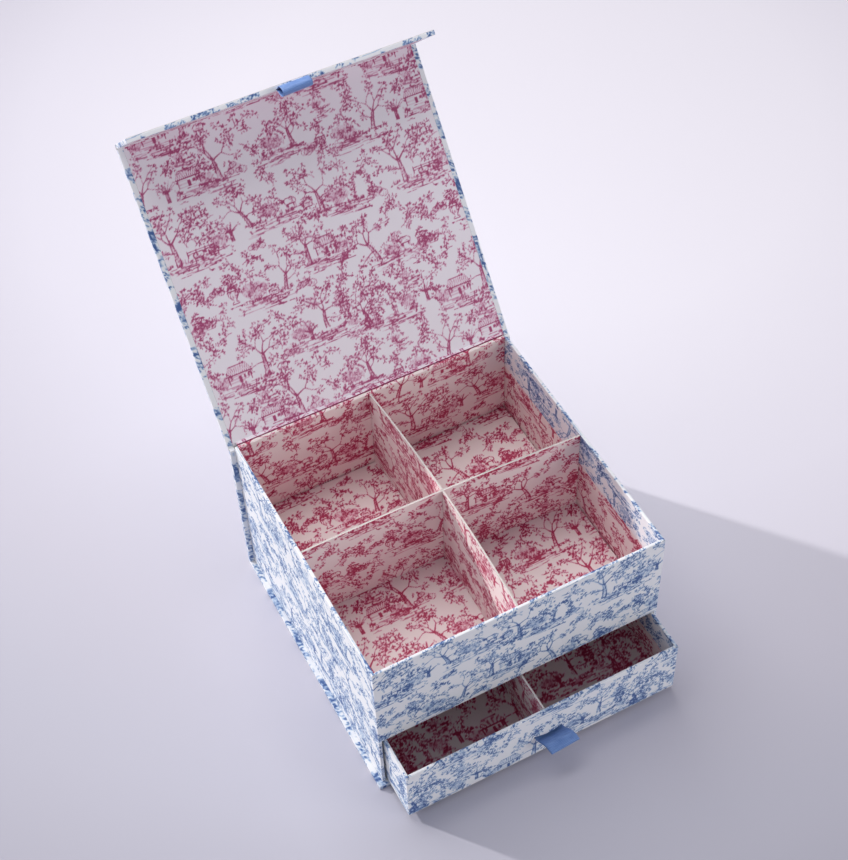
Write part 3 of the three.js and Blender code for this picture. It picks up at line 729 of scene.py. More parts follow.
def sheet(name, path, across, u_range, stock, thick=0.2, shift=(0, 0), turn=0, windows=(),
          move=None, cell=SEEN, pace=1):
    path, across = [Vector(p) for p in path], Vector(across)
    lengths, outs = path_frame(path, across)
    us, vs = (merge_close([*ends, *(min(max(w[k], ends[0]), ends[-1])
                                    for w in windows for k in which)])
              for ends, which in ((u_range, (0, 1)), (lengths, (2, 3))))
    fine_u, mark_u = split(us, cell)
    fine_v, mark_v = split(vs, cell)

    def kept(i, j):
        if not (0 <= i < len(us) - 1 and 0 <= j < len(vs) - 1):
            return False
        u, v = (us[i] + us[i + 1]) / 2, (vs[j] + vs[j + 1]) / 2
        return not any(w[0] < u < w[1] and w[2] < v < w[3] for w in windows)

    def folded(u, v, down):
        point, away = (np.stack([np.interp(v, lengths, rows[:, k]) for k in range(3)], -1)
                       for rows in (np.array(path), outs))
        return ((point - away * down + u[..., None] * np.array(across)) * MM).reshape(-1, 3)

    grid_u, grid_v = np.meshgrid(fine_u, fine_v, indexing="ij")
    points = folded(grid_u, grid_v, 0.0)
    if turn:
        ink = print_at(-grid_v * turn - shift[0], grid_u * turn - shift[1]).ravel()
    else:
        ink = print_at(grid_u - shift[0], grid_v * pace - shift[1]).ravel()
    coarse_u, coarse_v = np.meshgrid(us, vs, indexing="ij")
    backs = folded(coarse_u, coarse_v, thick)
    fine = np.arange(len(points)).reshape(grid_u.shape)
    coarse = np.arange(len(backs)).reshape(coarse_u.shape) + len(points)
    quads, rest = [], []
    for i, j in np.ndindex(len(us) - 1, len(vs) - 1):
        if not kept(i, j):
            continue
        block = fine[mark_u[i]:mark_u[i + 1] + 1, mark_v[j]:mark_v[j + 1] + 1]
        quads.append(np.stack([block[:-1, :-1], block[1:, :-1], block[1:, 1:], block[:-1, 1:]],
                              -1).reshape(-1, 4))
        b = coarse[i:i + 2, j:j + 2]
        rest.append([b[0, 0], b[0, 1], b[1, 1], b[1, 0]])
        for open_side, run, ends in ((not kept(i, j - 1), block[:, 0], (b[0, 0], b[1, 0])),
                                     (not kept(i + 1, j), block[-1, :], (b[1, 0], b[1, 1])),
                                     (not kept(i, j + 1), block[::-1, -1], (b[1, 1], b[0, 1])),
                                     (not kept(i - 1, j), block[0, ::-1], (b[0, 1], b[0, 0]))):
            if open_side:
                rest.append([*run[::-1], *ends])
    quads = np.concatenate(quads)
    used = np.unique(np.concatenate([quads.ravel()] + [np.array(f) for f in rest]))
    renumber = np.zeros(len(points) + len(backs), int)
    renumber[used] = np.arange(len(used))
    faces = renumber[quads].tolist() + [renumber[np.array(f)].tolist() for f in rest]
    mesh = bpy.data.meshes.new(name)
    mesh.from_pydata(np.concatenate([points, backs])[used].tolist(), [], faces)
    attribute = mesh.attributes.new("ink", "FLOAT", "POINT")
    attribute.data.foreach_set("value", np.concatenate([ink, np.zeros(len(backs))])[used])
    kinds = np.zeros(len(faces), np.int32)
    kinds[len(quads):] = 1
    mesh.polygons.foreach_set("material_index", kinds)
    if move is not None:
        mesh.transform(move)
    for material in (stock, bare_paper):
        mesh.materials.append(material)
    print(name, len(quads), "squares")
    return add_object(name, mesh)


print("sheet cutter ready")

# %% [markdown]
# Paper bends round a board with a small radius, about half a millimetre, which is what catches the
# light along every edge. One helper rounds the corners of a folding path, one gives a piece its
# body and hides the nodes it replaces, and one joins pieces to a single one.

# %% Round, own and join
def rounded(points, radius=0.5, steps=2):
    points = [Vector(p) for p in points]
    path = [points[0]]
    for before, corner, after in zip(points, points[1:], points[2:]):
        a = corner + (before - corner).normalized() * radius
        b = corner + (after - corner).normalized() * radius
        for i in range(steps + 1):
            t = i / steps
            path.append(a.lerp(corner, t).lerp(corner.lerp(b, t), t))
    return [*path, points[-1]]


def own(piece, body, *nodes, slot=None):
    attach(piece, body)
    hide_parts(*nodes)
    return piece


def paper(body, node_name, *cut, **how):
    """Cut a sheet and put it in the place of a node of the frame."""
    return own(sheet(*cut, **how), body, node_name)


def join(name, *pieces):
    if len(pieces) > 1:
        for piece in bpy.context.scene.objects:
            piece.select_set(piece in pieces)
        bpy.context.view_layer.objects.active = pieces[0]
        bpy.ops.object.join()
        pieces[0].select_set(False)
        pieces[0].name = name
    return pieces[0]


X, Y, Z = Vector((1, 0, 0)), Vector((0, 1, 0)), Vector((0, 0, 1))
print("folding ready")

# %% [markdown]
# The body's four walls. Each cover sheet climbs the outside, folds over the top edge and runs
# 28 mm down inside, where the crimson lining takes over. The print runs on round the corners,
# as one long strip of paper would.

# %% Covers of the body's walls
OUT_X, OUT_Y, WALL = 100, 98, 2
IN_X, IN_Y = OUT_X - WALL, OUT_Y - WALL
WALL_TOP, BAY_TOP, TURN_IN, WALL_FOOT, FLOOR = 127.15, 51.0, 28.0, 3.15, 56.85
# A window that ends at FAR goes on to the sheet's end.
FAR = 999
inside = WALL_TOP - TURN_IN
side_half = OUT_Y - 0.2
front = rounded([(0, -IN_Y, BAY_TOP), (0, -OUT_Y, BAY_TOP), (0, -OUT_Y, WALL_TOP),
                 (0, -IN_Y, WALL_TOP), (0, -IN_Y, inside)])
# The front sheet's folded-in rims stop short of the corners, where the side walls stand.
near_top = WALL + WALL_TOP - 0.55 - BAY_TOP
corners = [(*ends, *run) for ends in ((-OUT_X, -IN_X + 0.1), (IN_X - 0.1, OUT_X))
           for run in ((0, WALL - 0.4), (near_top, FAR))]
paper("body", "front_wall_cover_paper", "front_wall_cover", front, X, (-OUT_X, OUT_X), blue_paper,
      shift=(0, -49), windows=corners)
for side, x in (("left", -1), ("right", 1)):
    wall = rounded([(x * OUT_X, 0, WALL_FOOT), (x * OUT_X, 0, WALL_TOP), (x * IN_X, 0, WALL_TOP),
                    (x * IN_X, 0, inside)])
    paper("body", f"{side}_wall_cover_paper", f"{side}_wall_cover", wall, Y * x,
          (-side_half, side_half), blue_paper, shift=(-x * (OUT_X + side_half), -WALL_FOOT),
          cell=SEEN if x < 0 else PART_SEEN)
    end_x = -OUT_X if x < 0 else IN_X
    paper("body", "front_wall_cover_paper", f"{side}_wall_end_paper",
          [(end_x, -OUT_Y, WALL_FOOT), (end_x, -OUT_Y, BAY_TOP + 0.4)], X, (0, WALL), blue_paper,
          shift=(-x * OUT_X, -WALL_FOOT))
paper("body", "back_wall_cover_paper", "back_wall_cover",
      [(0, OUT_Y, WALL_FOOT), (0, OUT_Y, WALL_TOP - 0.1)], -X, (-OUT_X, OUT_X), blue_paper,
      shift=(37, -WALL_FOOT), cell=UNSEEN)

# %% [markdown]
# Linings. Below the blue turn-in each wall is lined in the crimson print. The back wall is
# crimson to its top and over it, because the lid's lining runs down into it there.

# %% Linings of the tray
below, LINING_FOOT = inside - 0.03, 55.0
lined_x, lined_y = IN_X - 0.15, OUT_Y - 0.4
for side, x, y, across, half, top, shift in (
        ("left", -IN_X, 0, Y, lined_y, below, 11), ("right", IN_X, 0, -Y, lined_y, below, 63),
        ("front", 0, -IN_Y, -X, lined_x, below, 90),
        ("back", 0, IN_Y, X, lined_x, WALL_TOP, 128)):
    path = [(x, y, LINING_FOOT), (x, y, top)]
    if side == "back":
        path = rounded([*path, (x, OUT_Y + 0.2, top)])
    paper("body", f"{side}_wall_lining_paper", f"{side}_wall_lining", path, across, (-half, half),
          heavy_tray_print_painted_shade, shift=(shift, 40 + shift / 3))
paper("body", "tray_floor_paper", "tray_floor_lining",
      [(0, -IN_Y + 0.3, FLOOR), (0, IN_Y - 0.6, FLOOR)], X, (-IN_X + 0.3, IN_X - 0.6), heavy_tray_print_painted_shade,
      shift=(20, 95))

# %% [markdown]
# The tray's dividers are two thin cards, lined on both faces with the crimson print, that
# slide into each other at half-height slots. Their cut edges show bare card. They flex a
# little, so each face follows a shallow curve in plan. A card is made as two halves, one a
# face, each as thick as half the card.

# %% Divider cards
CARD_FOOT, CARD_TOP, CARD_SLOT = 57.15, 126.85, 0.9


def bowed(points, offset, steps=12):
    """Plan points along a shallow curve through three places, moved sideways by offset."""
    (x0, y0), (x1, y1), (x2, y2) = points
    k = dist(points[0], points[1]) / (dist(points[0], points[1]) + dist(points[1], points[2]))
    plan = []
    for i in range(steps + 1):
        t = i / steps
        w = ((t - k) * (t - 1) / k, t * (t - 1) / (k * (k - 1)), t * (t - k) / (1 - k))
        plan.append(Vector((w[0] * x0 + w[1] * x1 + w[2] * x2,
                            w[0] * y0 + w[1] * y1 + w[2] * y2, 0)))
    return [p + Vector(o) * offset for p, o in zip(plan, path_frame(plan, Z)[1])]


def card(body, node_name, plan, foot, top, shifts, slot_range=None, half=0.6):
    """A lined card along three plan points, slotted at the middle one over a range of heights."""
    faces = []
    for k, points in enumerate((plan, plan[::-1])):
        near = dist(points[0], plan[1])
        windows = [(*slot_range, near - CARD_SLOT, near + CARD_SLOT)] if slot_range else []
        faces.append(sheet(f"{node_name}_card_face_{k}", bowed(points, half), Z, (foot, top),
                           heavy_tray_print_painted_shade, thick=half, shift=shifts[k], turn=1, windows=windows))
    return own(join(f"{node_name}_card", *faces), body, node_name, slot="divider_card")


CROSSING = (0.0, 2.2)
card_x, card_y = IN_X - 0.3, IN_Y - 0.3
halfway = (CARD_FOOT + CARD_TOP) / 2
card("body", "long_divider", [(-2.5, -card_y), CROSSING, (-3.8, card_y)], CARD_FOOT, CARD_TOP,
     ((35, 12), (120, 70)), (halfway - 0.2, CARD_TOP))
card("body", "cross_divider", [(card_x, -1.5), CROSSING, (-card_x, 2.3)], CARD_FOOT, CARD_TOP,
     ((100, 30), (10, 115)), (CARD_FOOT, halfway + 0.2))

# %% [markdown]
# The case: base, spine, lid and flap are boards wrapped in the blue paper, which turns in over
# their edges by 3 to 4 mm before the lining covers the rest. Each is one sheet folded round both
# long edges; the base also has a strip over each end, and the flap one over its free end.

# %% Wrap the case boards
HALF, BASE_TOP, BASE_TURN_IN, CASE_TURN_IN = 103.4, 3.0, 12, 3.4
SPINE_IN, SPINE_OUT, SPINE_TOP = 98.15, 101.15, 123.8
LID_IN, LID_OUT, LID_START, LID_END = 1.6, 4.6, 1.7, 200.2
FLAP_FACE, FLAP_START, FLAP_END = 1.5, 0.6, 40.5
LID_OPEN, FLAP_FOLD = radians(127.8), radians(85.9)
RIBBON_X, SLIT_HALF = 4.0, 10.2
lid_place = Matrix.Translation(Vector((0, 99.8, 126.0)) * MM) @ Matrix.Rotation(-LID_OPEN, 4, "X")
flap_place = (lid_place @ Matrix.Translation(Vector((0, -202.1, 3.1)) * MM)
              @ Matrix.Rotation(FLAP_FOLD, 4, "X"))


def case_wrap(name, body, inner, outer, across, span, turn=-1, shift=(0, 0), move=None, strips=(),
              cell=PART_SEEN, turned_in=CASE_TURN_IN):
    """Wrap a board between its inner and outer face; the spine stands, so its faces lie in y."""
    corners = ((-HALF + turned_in, inner), (-HALF, inner), (-HALF, outer), (HALF, outer),
               (HALF, inner), (HALF - turned_in, inner))
    path = rounded([(x, d, 0) if across == Z else (x, 0, d) for x, d in corners])
    pieces = [sheet(name, path, across, span, blue_paper, shift=shift, turn=turn, move=move,
                    cell=cell)]
    for k, (strip, way, windows) in enumerate(strips):
        pieces.append(sheet(f"{name}_end_{k}", rounded(strip), way, (-HALF + 0.1, HALF - 0.1),
                            blue_paper, shift=(shift[0] + 30, shift[1]), move=move,
                            windows=windows, cell=cell))
    return own(join(name, *pieces), body, f"{name}_paper")


def end_strip(y_end, way, inner, outer, turned_in, cut, more=()):
    """A strip over a board's end at y_end; way is 1 where the board lies towards +y.

    Its turned-in side is cut away beyond the wrap's own turn-ins, over the length cut.
    """
    free_half = HALF - turned_in
    path = [(0, y_end + way * turned_in, inner), (0, y_end, inner), (0, y_end, outer),
            (0, y_end + way * 0.3, outer)]
    windows = [(-HALF, -free_half, 0, cut), (free_half, HALF, 0, cut), *more]
    return path, X if way * (outer - inner) > 0 else -X, windows


case_wrap("base_cover", "body", BASE_TOP, 0.0, Y, (-100.85, 100.85), cell=UNSEEN,
          turned_in=BASE_TURN_IN,
          strips=[end_strip(way * -SPINE_OUT, way, BASE_TOP, 0.0, BASE_TURN_IN, 11.6)
                  for way in (1, -1)])
case_wrap("spine_cover", "body", SPINE_IN, SPINE_OUT, Z, (WALL_FOOT, SPINE_TOP), turn=1,
          cell=UNSEEN)
case_wrap("lid_cover", "lid", LID_IN, LID_OUT, -Y, (LID_START, LID_END), move=lid_place, cell=1.0)
# The flap's end strip lets the ribbon out through a slit.
ribbon_slit = (RIBBON_X - SLIT_HALF, RIBBON_X + SLIT_HALF, 3.5, 4.4)
case_wrap("flap_cover", "flap", -FLAP_FACE, FLAP_FACE, -Y, (FLAP_START, FLAP_END - 0.3),
          shift=(0, 40), move=flap_place,
          strips=[end_strip(-FLAP_END, 1, -FLAP_FACE, FLAP_FACE, CASE_TURN_IN, 3.1, [ribbon_slit])])

# %% [markdown]
# Linings of the lid and the flap: one crimson sheet each, laid just inside the blue turn-ins.

# %% Lid and flap linings
LINING_HALF = 99.9
for body, start_y, end_y, z, shift, place in (
        ("lid", 0.4, -200.1, LID_IN, 25, lid_place),
        ("flap", -FLAP_START, -37.0, -FLAP_FACE, 70, flap_place)):
    paper(body, f"{body}_lining_paper", f"{body}_lining", [(0, start_y, z), (0, end_y, z)], X,
          (-LINING_HALF, LINING_HALF), lining_print_painted_sheen, shift=(10, shift), move=place)

# %% [markdown]
# The creases. Between spine and lid, and between lid and flap, the paper has no board in it
# and bends. These strips follow both bodies, so they are blended across the joint.

# %% Creased strips
def crease(name, points, nodes, place, stock, across=X, shift=(0, 0), steps=8, half=HALF,
           pace=1, windows=()):
    """A strip through points of one body's yz plane.

    Four points are a curve's start, its two control points and its end. More are a fold's corners.
    The cover faces out of the box, which takes the way across from right to left.
    """
    a, b, c, d = (Vector((0, *points[k])) for k in (0, 1, 2, -1))
    path = []
    for i in range(steps + 1):
        t = i / steps
        path.append(a * (1 - t) ** 3 + b * 3 * t * (1 - t) ** 2 + c * 3 * t * t * (1 - t)
                    + d * t ** 3)
    if len(points) > 4:
        path = rounded([(0, *p) for p in points], 0.25)
    piece = sheet(name, path, across, (-half, half), stock, shift=shift, move=place, pace=pace,
                  windows=windows)
    if stock is blue_paper:
        # The rims and the back of a cover's crease show at the box's sides, so they are blue too.
        piece.data.materials[1] = blue_paper
    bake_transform(piece)
    if nodes:
        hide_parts(*nodes)
    return piece


def on_lid(s, n):
    spot = lid_place @ (Vector((0, -s, n)) * MM)
    return (spot.y / MM, spot.z / MM)


def on_flap(y, z):
    spot = lid_place.inverted() @ flap_place @ (Vector((0, y, z)) * MM)
    return (spot.y / MM, spot.z / MM)


crease("lid_hinge_crease", [(SPINE_OUT, SPINE_TOP), (101.5, 124.5), on_lid(0.9, LID_OUT),
                            on_lid(LID_START, LID_OUT)],
       ["lid_hinge_paper"], None, blue_paper, across=-X, pace=2.2)

# Inside, the lining is pressed into a sharp groove behind the back wall. The groove's shadow is
# painted: its points get full ink, and read as a dark line.
pressed = [(98.2, WALL_TOP), (98.6, 124.2), (99.3, 126.9), (100.9, 126.7), on_lid(1.8, LID_IN)]
groove = crease("lid_crease_lining", pressed, [], None, lining_print_painted_sheen, shift=(10, 60),
                half=97.8)
for vertex, ink in zip(groove.data.vertices, groove.data.attributes["ink"].data):
    # Painted shade: full ink stands in for the shadow deep in the groove.
    if 98.22 < vertex.co.y / MM < 99.35:
        ink.value = 1.0

# Beside the linings the cover paper is turned in, and closes the creases' ends.
turned = [(98.05, 122.5), (98.05, 124.1), (100.6, 124.6), (101.4, 125.5), on_lid(2.4, 1.5)]
crease("lid_crease_ends", turned, [], None, blue_paper, half=HALF - 0.2,
       windows=[(-100.05, 100.05, 0, FAR)])
flap_y, flap_z = on_flap(-FLAP_START, FLAP_FACE)
outer_fold = [(-LID_END, LID_OUT), (-202.4, LID_OUT), (flap_y, flap_z + 1.4), (flap_y, flap_z)]
crease("flap_hinge_crease", outer_fold, ["flap_hinge_paper"], lid_place, blue_paper,
       across=-X)
fold_end = on_flap(-2.4, -1.6)
fold = [(-200.1, LID_IN), (-200.6, LID_IN), (fold_end[0] + 0.05, 1.5), fold_end]
crease("flap_crease_lining", fold, [], lid_place, lining_print_painted_sheen, shift=(10, 25), steps=5,
       half=LINING_HALF, pace=3)
crease("flap_crease_ends", fold, [], lid_place, blue_paper, steps=5, half=HALF - 0.2,
       pace=3, windows=[(-100.0, 100.0, 0, FAR)])
print("creases ready")

# %% [markdown]
# The drawer is a small tray of its own: four thin walls with the blue paper over their edges
# and 22 mm down inside, crimson below and on the floor, and a single divider.

# %% Drawer papers
D_LEFT, D_RIGHT, D_FRONT, D_BACK = -96.4, 97.6, -127.3, 65.2
D_FOOT, D_TOP, D_FLOOR, D_BOTTOM, D_WALL, D_TURN_IN, CARD_X = 3.65, 50.3, 5.7, 3.3, 2, 22, 0.6
SLIT_X, SLIT_Z, LIP_FOOT, LIP_TOP, LIP_BULGE = 3.0, 23.1, 1.5, 8.0, 1.5
clear = D_WALL + 0.1
low_in = D_TOP - D_TURN_IN
mid_x, mid_y = (D_LEFT + D_RIGHT) / 2, (D_FRONT + D_BACK) / 2
half_x, half_y = (D_RIGHT - D_LEFT) / 2, (D_BACK - D_FRONT) / 2
slit_at = SLIT_X - mid_x
slit = (slit_at - SLIT_HALF, slit_at + SLIT_HALF)


def slit_lip(shift):
    """The paper above the slit, which the ribbon lifts off the board. Both its faces are fine."""
    rises = [(mid_x, D_FRONT, SLIT_Z + z) for z in np.linspace(LIP_FOOT, LIP_TOP, 14)]
    threads = [(slit_at + k, slit_at + k, 0, 0) for k in np.linspace(-SLIT_HALF, SLIT_HALF, 32)]
    lip = sheet("drawer_front_lip", rises, X, slit, blue_paper, windows=threads,
                shift=(shift[0], shift[1] - (SLIT_Z + LIP_FOOT - D_FOOT)))
    for vertex, ink in zip(lip.data.vertices, lip.data.attributes["ink"].data):
        over = (vertex.co.x / MM - SLIT_X) / SLIT_HALF
        rise = (vertex.co.z / MM - SLIT_Z - LIP_FOOT) / (LIP_TOP - LIP_FOOT)
        vertex.co.y -= LIP_BULGE * MM * (1 - over * over) * (1 - rise) ** 2 * (1 + 2 * rise)
        # Its lowest edge lies in the slit's shade, and is drawn dark.
        if rise < 0.04 and abs(over) < 0.97:
            ink.value = 1.6
    return lip


for side, edge, into, across, half, offset in (
        ("front", (mid_x, D_FRONT), Y, X, half_x, 0), ("back", (mid_x, D_BACK), -Y, -X, half_x, 77),
        ("left", (D_LEFT, mid_y), X, -Y, half_y - 0.2, 193),
        ("right", (D_RIGHT, mid_y), -X, Y, half_y - 0.2, -193)):
    foot, top = Vector((*edge, D_FOOT)), Vector((*edge, D_TOP))
    inner_xy = (top + into * D_WALL).xy
    path = rounded([foot, top, top + into * D_WALL, Vector((*inner_xy, low_in))])
    windows, shift = [], (offset + 64, -12)
    if side in ("front", "back"):
        # The turn-in stops short of the corners, where the side walls stand.
        over_top = (D_TOP - D_FOOT - 0.4, FAR)
        windows = [(-half, -half + clear, *over_top), (half - clear, half, *over_top)]
    if side == "front":
        windows.append((*slit, SLIT_Z - D_FOOT - 0.55, SLIT_Z - D_FOOT + LIP_TOP))
    pieces = [sheet(f"drawer_{side}_cover", path, across, (-half, half), blue_paper, shift=shift,
                    windows=windows, cell={"front": SEEN, "back": UNSEEN}.get(side, PART_SEEN))]
    if side == "front":
        pieces.append(slit_lip(shift))
    own(join(f"drawer_{side}_cover", *pieces), "drawer", f"drawer_{side}_cover_paper")
    paper("drawer", f"drawer_{side}_lining_paper", f"drawer_{side}_lining",
          [foot + into * D_WALL + Z * 1.5, Vector((*inner_xy, low_in - 0.03))], -across,
          (-half + D_WALL, half - D_WALL), heavy_tray_print_painted_shade, shift=(offset + 20, 50), cell=PART_SEEN)
paper("drawer", "drawer_floor_paper", "drawer_floor_lining",
      [(0, D_FRONT + clear, D_FLOOR), (0, D_BACK - clear, D_FLOOR)], X,
      (D_LEFT + clear, D_RIGHT - clear), heavy_tray_print_painted_shade, shift=(70, 10), cell=0.9)
paper("drawer", "drawer_bottom_paper", "drawer_bottom_cover",
      [(0, D_BACK, D_BOTTOM), (0, D_FRONT, D_BOTTOM)], X, (D_LEFT, D_RIGHT), blue_paper,
      shift=(0, 33), cell=1.6)
ends = (D_FRONT + D_WALL + 0.3, D_BACK - D_WALL - 0.3)
card("drawer", "drawer_divider", [(CARD_X, y) for y in (ends[0], mid_y, ends[1])],
     D_FLOOR + 0.3, D_TOP - 0.5, ((0, 0), (60, 20)))

# %% [markdown]
# Ribbon. Both pulls are one cornflower-blue polyester ribbon, 20 mm wide, woven with fine ribs
# across and a firm selvedge. It has a soft sheen. The ribs are only 0.4 mm apart, finer than
# the render shows, so they are drawn every 0.8 mm, from the ribbon's own UV map.

# %% Ribbon material
RIB = 0.8 * MM
ribbon_cloth, tree = new_material("woven_polyester_ribbon")
weave = node(tree, "UVMap", {"uv_map": "weave"})
ribs = node(tree, "TexWave", {"bands_direction": "Y", "wave_profile": "SIN"}, Vector=weave,
            Scale=tau / 20 / RIB, Distortion=0.4, Detail=1.0).outputs["Fac"]
stretched = node(tree, "Mapping", Vector=weave, Scale=(1 / (6 * MM), 1 / RIB, 1))
threads = node(tree, "TexNoise", Vector=stretched, Scale=1.0, Detail=3.0)
mixed = node(tree, "Math", {"operation": "MULTIPLY_ADD"}, _0=ribs, _1=0.25, _2=threads)
dye = node(tree, "ValToRGB", stops=((0.35, "#5074B4"), (0.85, "#7698D2")), Fac=mixed)
relief = node(tree, "Bump", Height=ribs, Strength=0.3, Distance=0.05 * MM)
satin = node(tree, "BsdfPrincipled", Base_Color=dye, Roughness=0.5, Normal=relief,
             Sheen_Weight=0.25, Sheen_Roughness=0.4)
node(tree, "OutputMaterial", Surface=satin)
print("ribbon cloth ready")

# %% [markdown]
# A ribbon pull is a strip bent in one direction only, so it is swept from a closed outline: the
# strand that comes out, the fold, and the strand that goes back. The strip is woven first flat,
# as a row of narrow panels, and each cross row is set on the outline. It tilts a little over
# its width (skew) and drifts sideways (lean), because no ribbon folds quite square.

# %% Ribbon pulls
WIDTH, THICK, PANELS, ROWS, SELVEDGE = 20.0, 0.3, 24, 72, 0.0003


def smooth_line(points, count):
    """Places at even steps along a smooth curve through the given points of the yz plane."""
    knots = [Vector(p) for p in points]
    line = []
    for i in range(len(knots) - 1):
        a, b = knots[i], knots[i + 1]
        before = knots[i - 1] if i else a + (a - b)
        after = knots[i + 2] if i + 2 < len(knots) else b + (b - a)
        for k in range(12):
            t = k / 12
            line.append(0.5 * ((2 * a) + (b - before) * t
                               + (2 * before - 5 * a + 4 * b - after) * t * t
                               + (3 * a - before - 3 * b + after) * t ** 3))
    line.append(knots[-1])
    steps = np.concatenate([[0], np.cumsum([(q - p).length for p, q in zip(line, line[1:])])])
    even = np.linspace(0, steps[-1], count)
    spots = [Vector([np.interp(t, steps, [p[axis] for p in line]) for axis in (0, 1)])
             for t in even]
    return spots, float(steps[-1])


def ribbon(name, points, middle, body, node_name, move=None, skew=0.0, lean=0.0):
    line, length = smooth_line(points, ROWS)
    last = len(line) - 1
    mesh = bmesh.new()
    weave_map = mesh.loops.layers.uv.new("weave")
    rows = []
    for i, spot in enumerate(line):
        way = (line[min(i + 1, last)] - line[max(i - 1, 0)]).normalized()
        out = Vector((-way.y, way.x))
        row = []
        for side in (0.5, -0.5):
            for k in range(PANELS + 1):
                u = (k / PANELS - 0.5) * WIDTH
                # The edge threads are a little thinner.
                thin = 0.6 if k in (0, PANELS) else 1.0
                sway = skew * (u / WIDTH) * sin(pi * i / last)
                place = spot + out * (side * THICK * thin) + Vector((0, sway))
                aside = lean * (line[0].x - spot.x)
                row.append(mesh.verts.new((middle + u + aside, place.x, place.y)))
        rows.append(row)
    wide = PANELS + 1

    def face(corners, uvs, flip=False):
        made = mesh.faces.new(corners[::-1] if flip else corners)
        made.smooth = True
        for loop, uv in zip(made.loops, uvs):
            loop[weave_map].uv = uv

    for i, (near, far) in enumerate(zip(rows, rows[1:])):
        v0, v1 = length * i / last * MM, length * (i + 1) / last * MM
        for k in range(PANELS):
            u0, u1 = WIDTH * k / PANELS * MM, WIDTH * (k + 1) / PANELS * MM
            face((near[k], near[k + 1], far[k + 1], far[k]),
                 ((u0, v0), (u1, v0), (u1, v1), (u0, v1)))
            face((far[wide + k], far[wide + k + 1], near[wide + k + 1], near[wide + k]),
                 ((u0, v1), (u1, v1), (u1, v0), (u0, v0)))
        for k in (0, PANELS):
            face((near[k], far[k], far[wide + k], near[wide + k]),
                 ((0, v0), (0, v1), (SELVEDGE, v1), (SELVEDGE, v0)), k > 0)
    for row in (rows[0], rows[-1]):
        for k in range(PANELS):
            face((row[k], row[wide + k], row[wide + k + 1], row[k + 1]),
                 ((0, 0), (0, SELVEDGE), (0.001, SELVEDGE), (0.001, 0)), row is rows[-1])
    bmesh.ops.recalc_face_normals(mesh, faces=mesh.faces)
    bmesh.ops.scale(mesh, vec=(MM, MM, MM), verts=mesh.verts)
    if move is not None:
        bmesh.ops.transform(mesh, matrix=move, verts=mesh.verts)
    data = bpy.data.meshes.new(name)
    mesh.to_mesh(data)
    mesh.free()
    data.materials.append(ribbon_cloth)
    piece = own(add_object(name, data), body, node_name, slot="ribbon")
    print(name, round(length, 1), "mm long")
    return piece


# The lid's pull leaves the flap's free edge, hangs over its inner side and makes a small eye.
EYE_LENGTH, EYE_HALF = 12.0, 3.1
EYE_SHAPE = [(0.14, 0.34), (0.36, 0.86), (0.6, 1.0), (0.82, 0.8), (0.96, 0.4)]
eye_way, eye_up = Vector((-0.962, -0.272)), Vector((-0.272, 0.962))
start = Vector((-40.6, -0.75))
eye = [(-36.5, -0.5), (-39.5, -0.52)]
for share, rise in [*EYE_SHAPE, (1, 0), *((share, -rise) for share, rise in EYE_SHAPE[::-1])]:
    eye.append(tuple(start + eye_way * EYE_LENGTH * share + eye_up * EYE_HALF * rise))
eye += [(-39.5, -0.92), (-36.5, -0.94)]
lid_pull = ribbon("lid_ribbon_loop", eye, RIBBON_X, "flap", "flap_pull_ribbon", move=flap_place,
                  skew=0.7)
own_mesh(lid_pull)

# The drawer's pull comes out of its slit level, arches a little and droops to a soft fold.
tab = [(-126.2, 23.15), (-127.6, 23.05), (-129.4, 23.2), (-132.2, 24.9), (-135.6, 26.1),
       (-138.8, 25.5), (-141.2, 23.9), (-141.8, 22.9), (-141.1, 22.8), (-138.2, 24.3),
       (-135.2, 24.8), (-131.8, 23.6), (-129.2, 22.8), (-127.6, 22.75), (-126.2, 22.75)]
ribbon("drawer_ribbon_tab", tab, SLIT_X, "drawer", "drawer_pull_ribbon", skew=2.4, lean=0.28)

# %% [markdown]
# What is left of the exact frame keeps its shape and only gets its finish: greyboard under
# every sheet, the plain linings that nobody looks at, the magnets and their steel plates.

# %% Finish the carried-over pieces
def metal(name, base, roughness, scratch_mm):
    """Plated or rolled sheet metal, with fine streaks from its making."""
    material, tree = new_material(name)
    place = node(tree, "TexCoord").outputs["Object"]
    drawn_out = node(tree, "Mapping", Vector=place, Scale=(1, 12, 1))
    streaks = node(tree, "TexNoise", Vector=drawn_out, Scale=1 / (scratch_mm * MM), Detail=3.0)
    rough = node(tree, "MapRange", Value=streaks, From_Min=0.3, From_Max=0.7,
                 To_Min=roughness - 0.08, To_Max=roughness + 0.08)
    surface = node(tree, "BsdfPrincipled", Base_Color=colour(base), Metallic=1.0, Roughness=rough)
    node(tree, "OutputMaterial", Surface=surface)
    return material


card_stock = plain_stock("white_lined_card", "#EFE6E4", "#DDD0CE", 1.0, 0.8)
FINISHES = (("magnet", metal("plated_nickel", "#C9C4BC", 0.28, 3.0)),
            ("keeper", metal("rolled_steel", "#B4B3B0", 0.38, 6.0)), ("shelf_board", card_stock),
            ("tray_floor_board", card_stock), ("board", grey_board), ("bay_", bay_paper),
            ("base_lining", bay_paper))
dressed = 0
for piece in bpy.context.scene.objects:
    finish = next((finish for word, finish in FINISHES if word in piece.name), None)
    if piece.name not in frame["nodes"] or piece.type != "MESH" or finish is None:
        continue
    if not piece.material_slots:
        piece.data.materials.append(finish)
    for place in piece.material_slots:
        place.material = finish
    dressed += 1
print(dressed, "carried-over pieces have their finish")
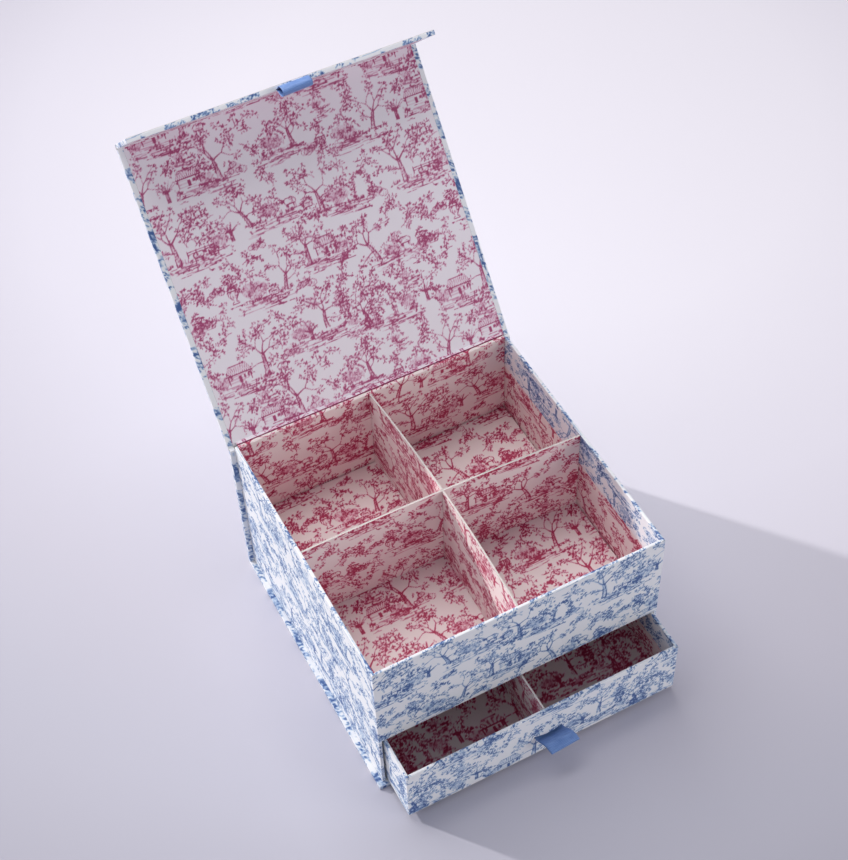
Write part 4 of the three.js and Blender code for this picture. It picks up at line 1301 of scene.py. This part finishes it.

# %% [markdown]
# The studio: a pale lavender floor whose colour is painted darker away from the box, a painted
# falloff of the light, a dim even surround, a small sun low behind on the left, which makes the
# shadow fall forward, and three softboxes that fill the tray, the left side and the front, as in
# the photograph.

# %% Floor, surround and lamps
floor_data = bpy.data.meshes.new("studio_floor")
floor_data.from_pydata([(-4, -4, 0), (4, -4, 0), (4, 4, 0), (-4, 4, 0)], [], [(0, 1, 2, 3)])
studio_floor = add_object("studio_floor", floor_data)
floor_material, tree = new_material("matt_studio_paper")
place = node(tree, "TexCoord").outputs["Object"]
centred = node(tree, "Mapping", Vector=place, Location=(-0.3, -0.42, 0))
metres = node(tree, "VectorMath", {"operation": "LENGTH"}, _0=centred).outputs["Value"]
# Painted light falloff: the floor's colour darkens with distance from a point behind and to the
# right of the box.
floor_painted_falloff = node(tree, "ValToRGB", Fac=metres, stops=(
    (0.25, "#EAE6EF"), (0.43, "#E1DDE8"), (0.57, "#D1CDD9"), (0.67, "#C3C1CE"), (0.78, "#B6B4C1")))
matt = node(tree, "BsdfPrincipled", Base_Color=floor_painted_falloff, Roughness=0.8)
node(tree, "OutputMaterial", Surface=matt)
floor_data.materials.append(floor_material)

world = bpy.data.worlds.new("surround")
bpy.context.scene.world = world
world.use_nodes = True
world.node_tree.nodes.clear()
node(world.node_tree, "OutputWorld",
     Surface=node(world.node_tree, "Background", Color=colour("#F4F4FF"), Strength=0.29))

sun = bpy.data.lights.new("window_lamp", "SUN")
sun.energy, sun.angle, sun.color = 2.15, radians(1.8), colour("#FFFDFA")[:3]
sun_way = Vector((-0.58, 0.73, 0.36))
add_object("window_lamp", sun).rotation_euler = sun_way.to_track_quat("Z", "Y").to_euler()

AIM = Vector((0, 0, 0.1))
for name, size, watts, spot in (("ceiling_softbox", 1.0, 10.5, (-0.1, 0.55, 1.25)),
                                ("left_softbox", 0.9, 3.4, (-1.3, 0.1, 0.3)),
                                ("front_softbox", 0.8, 6.8, (0.85, -1.15, 0.5))):
    softbox = bpy.data.lights.new(name, "AREA")
    softbox.shape, softbox.size, softbox.energy = "SQUARE", size, watts
    facing = (Vector(spot) - AIM).to_track_quat("Z", "Y").to_matrix().to_4x4()
    add_object(name, softbox).matrix_world = Matrix.Translation(spot) @ facing
print("lamps", [lamp.name for lamp in bpy.data.lights])
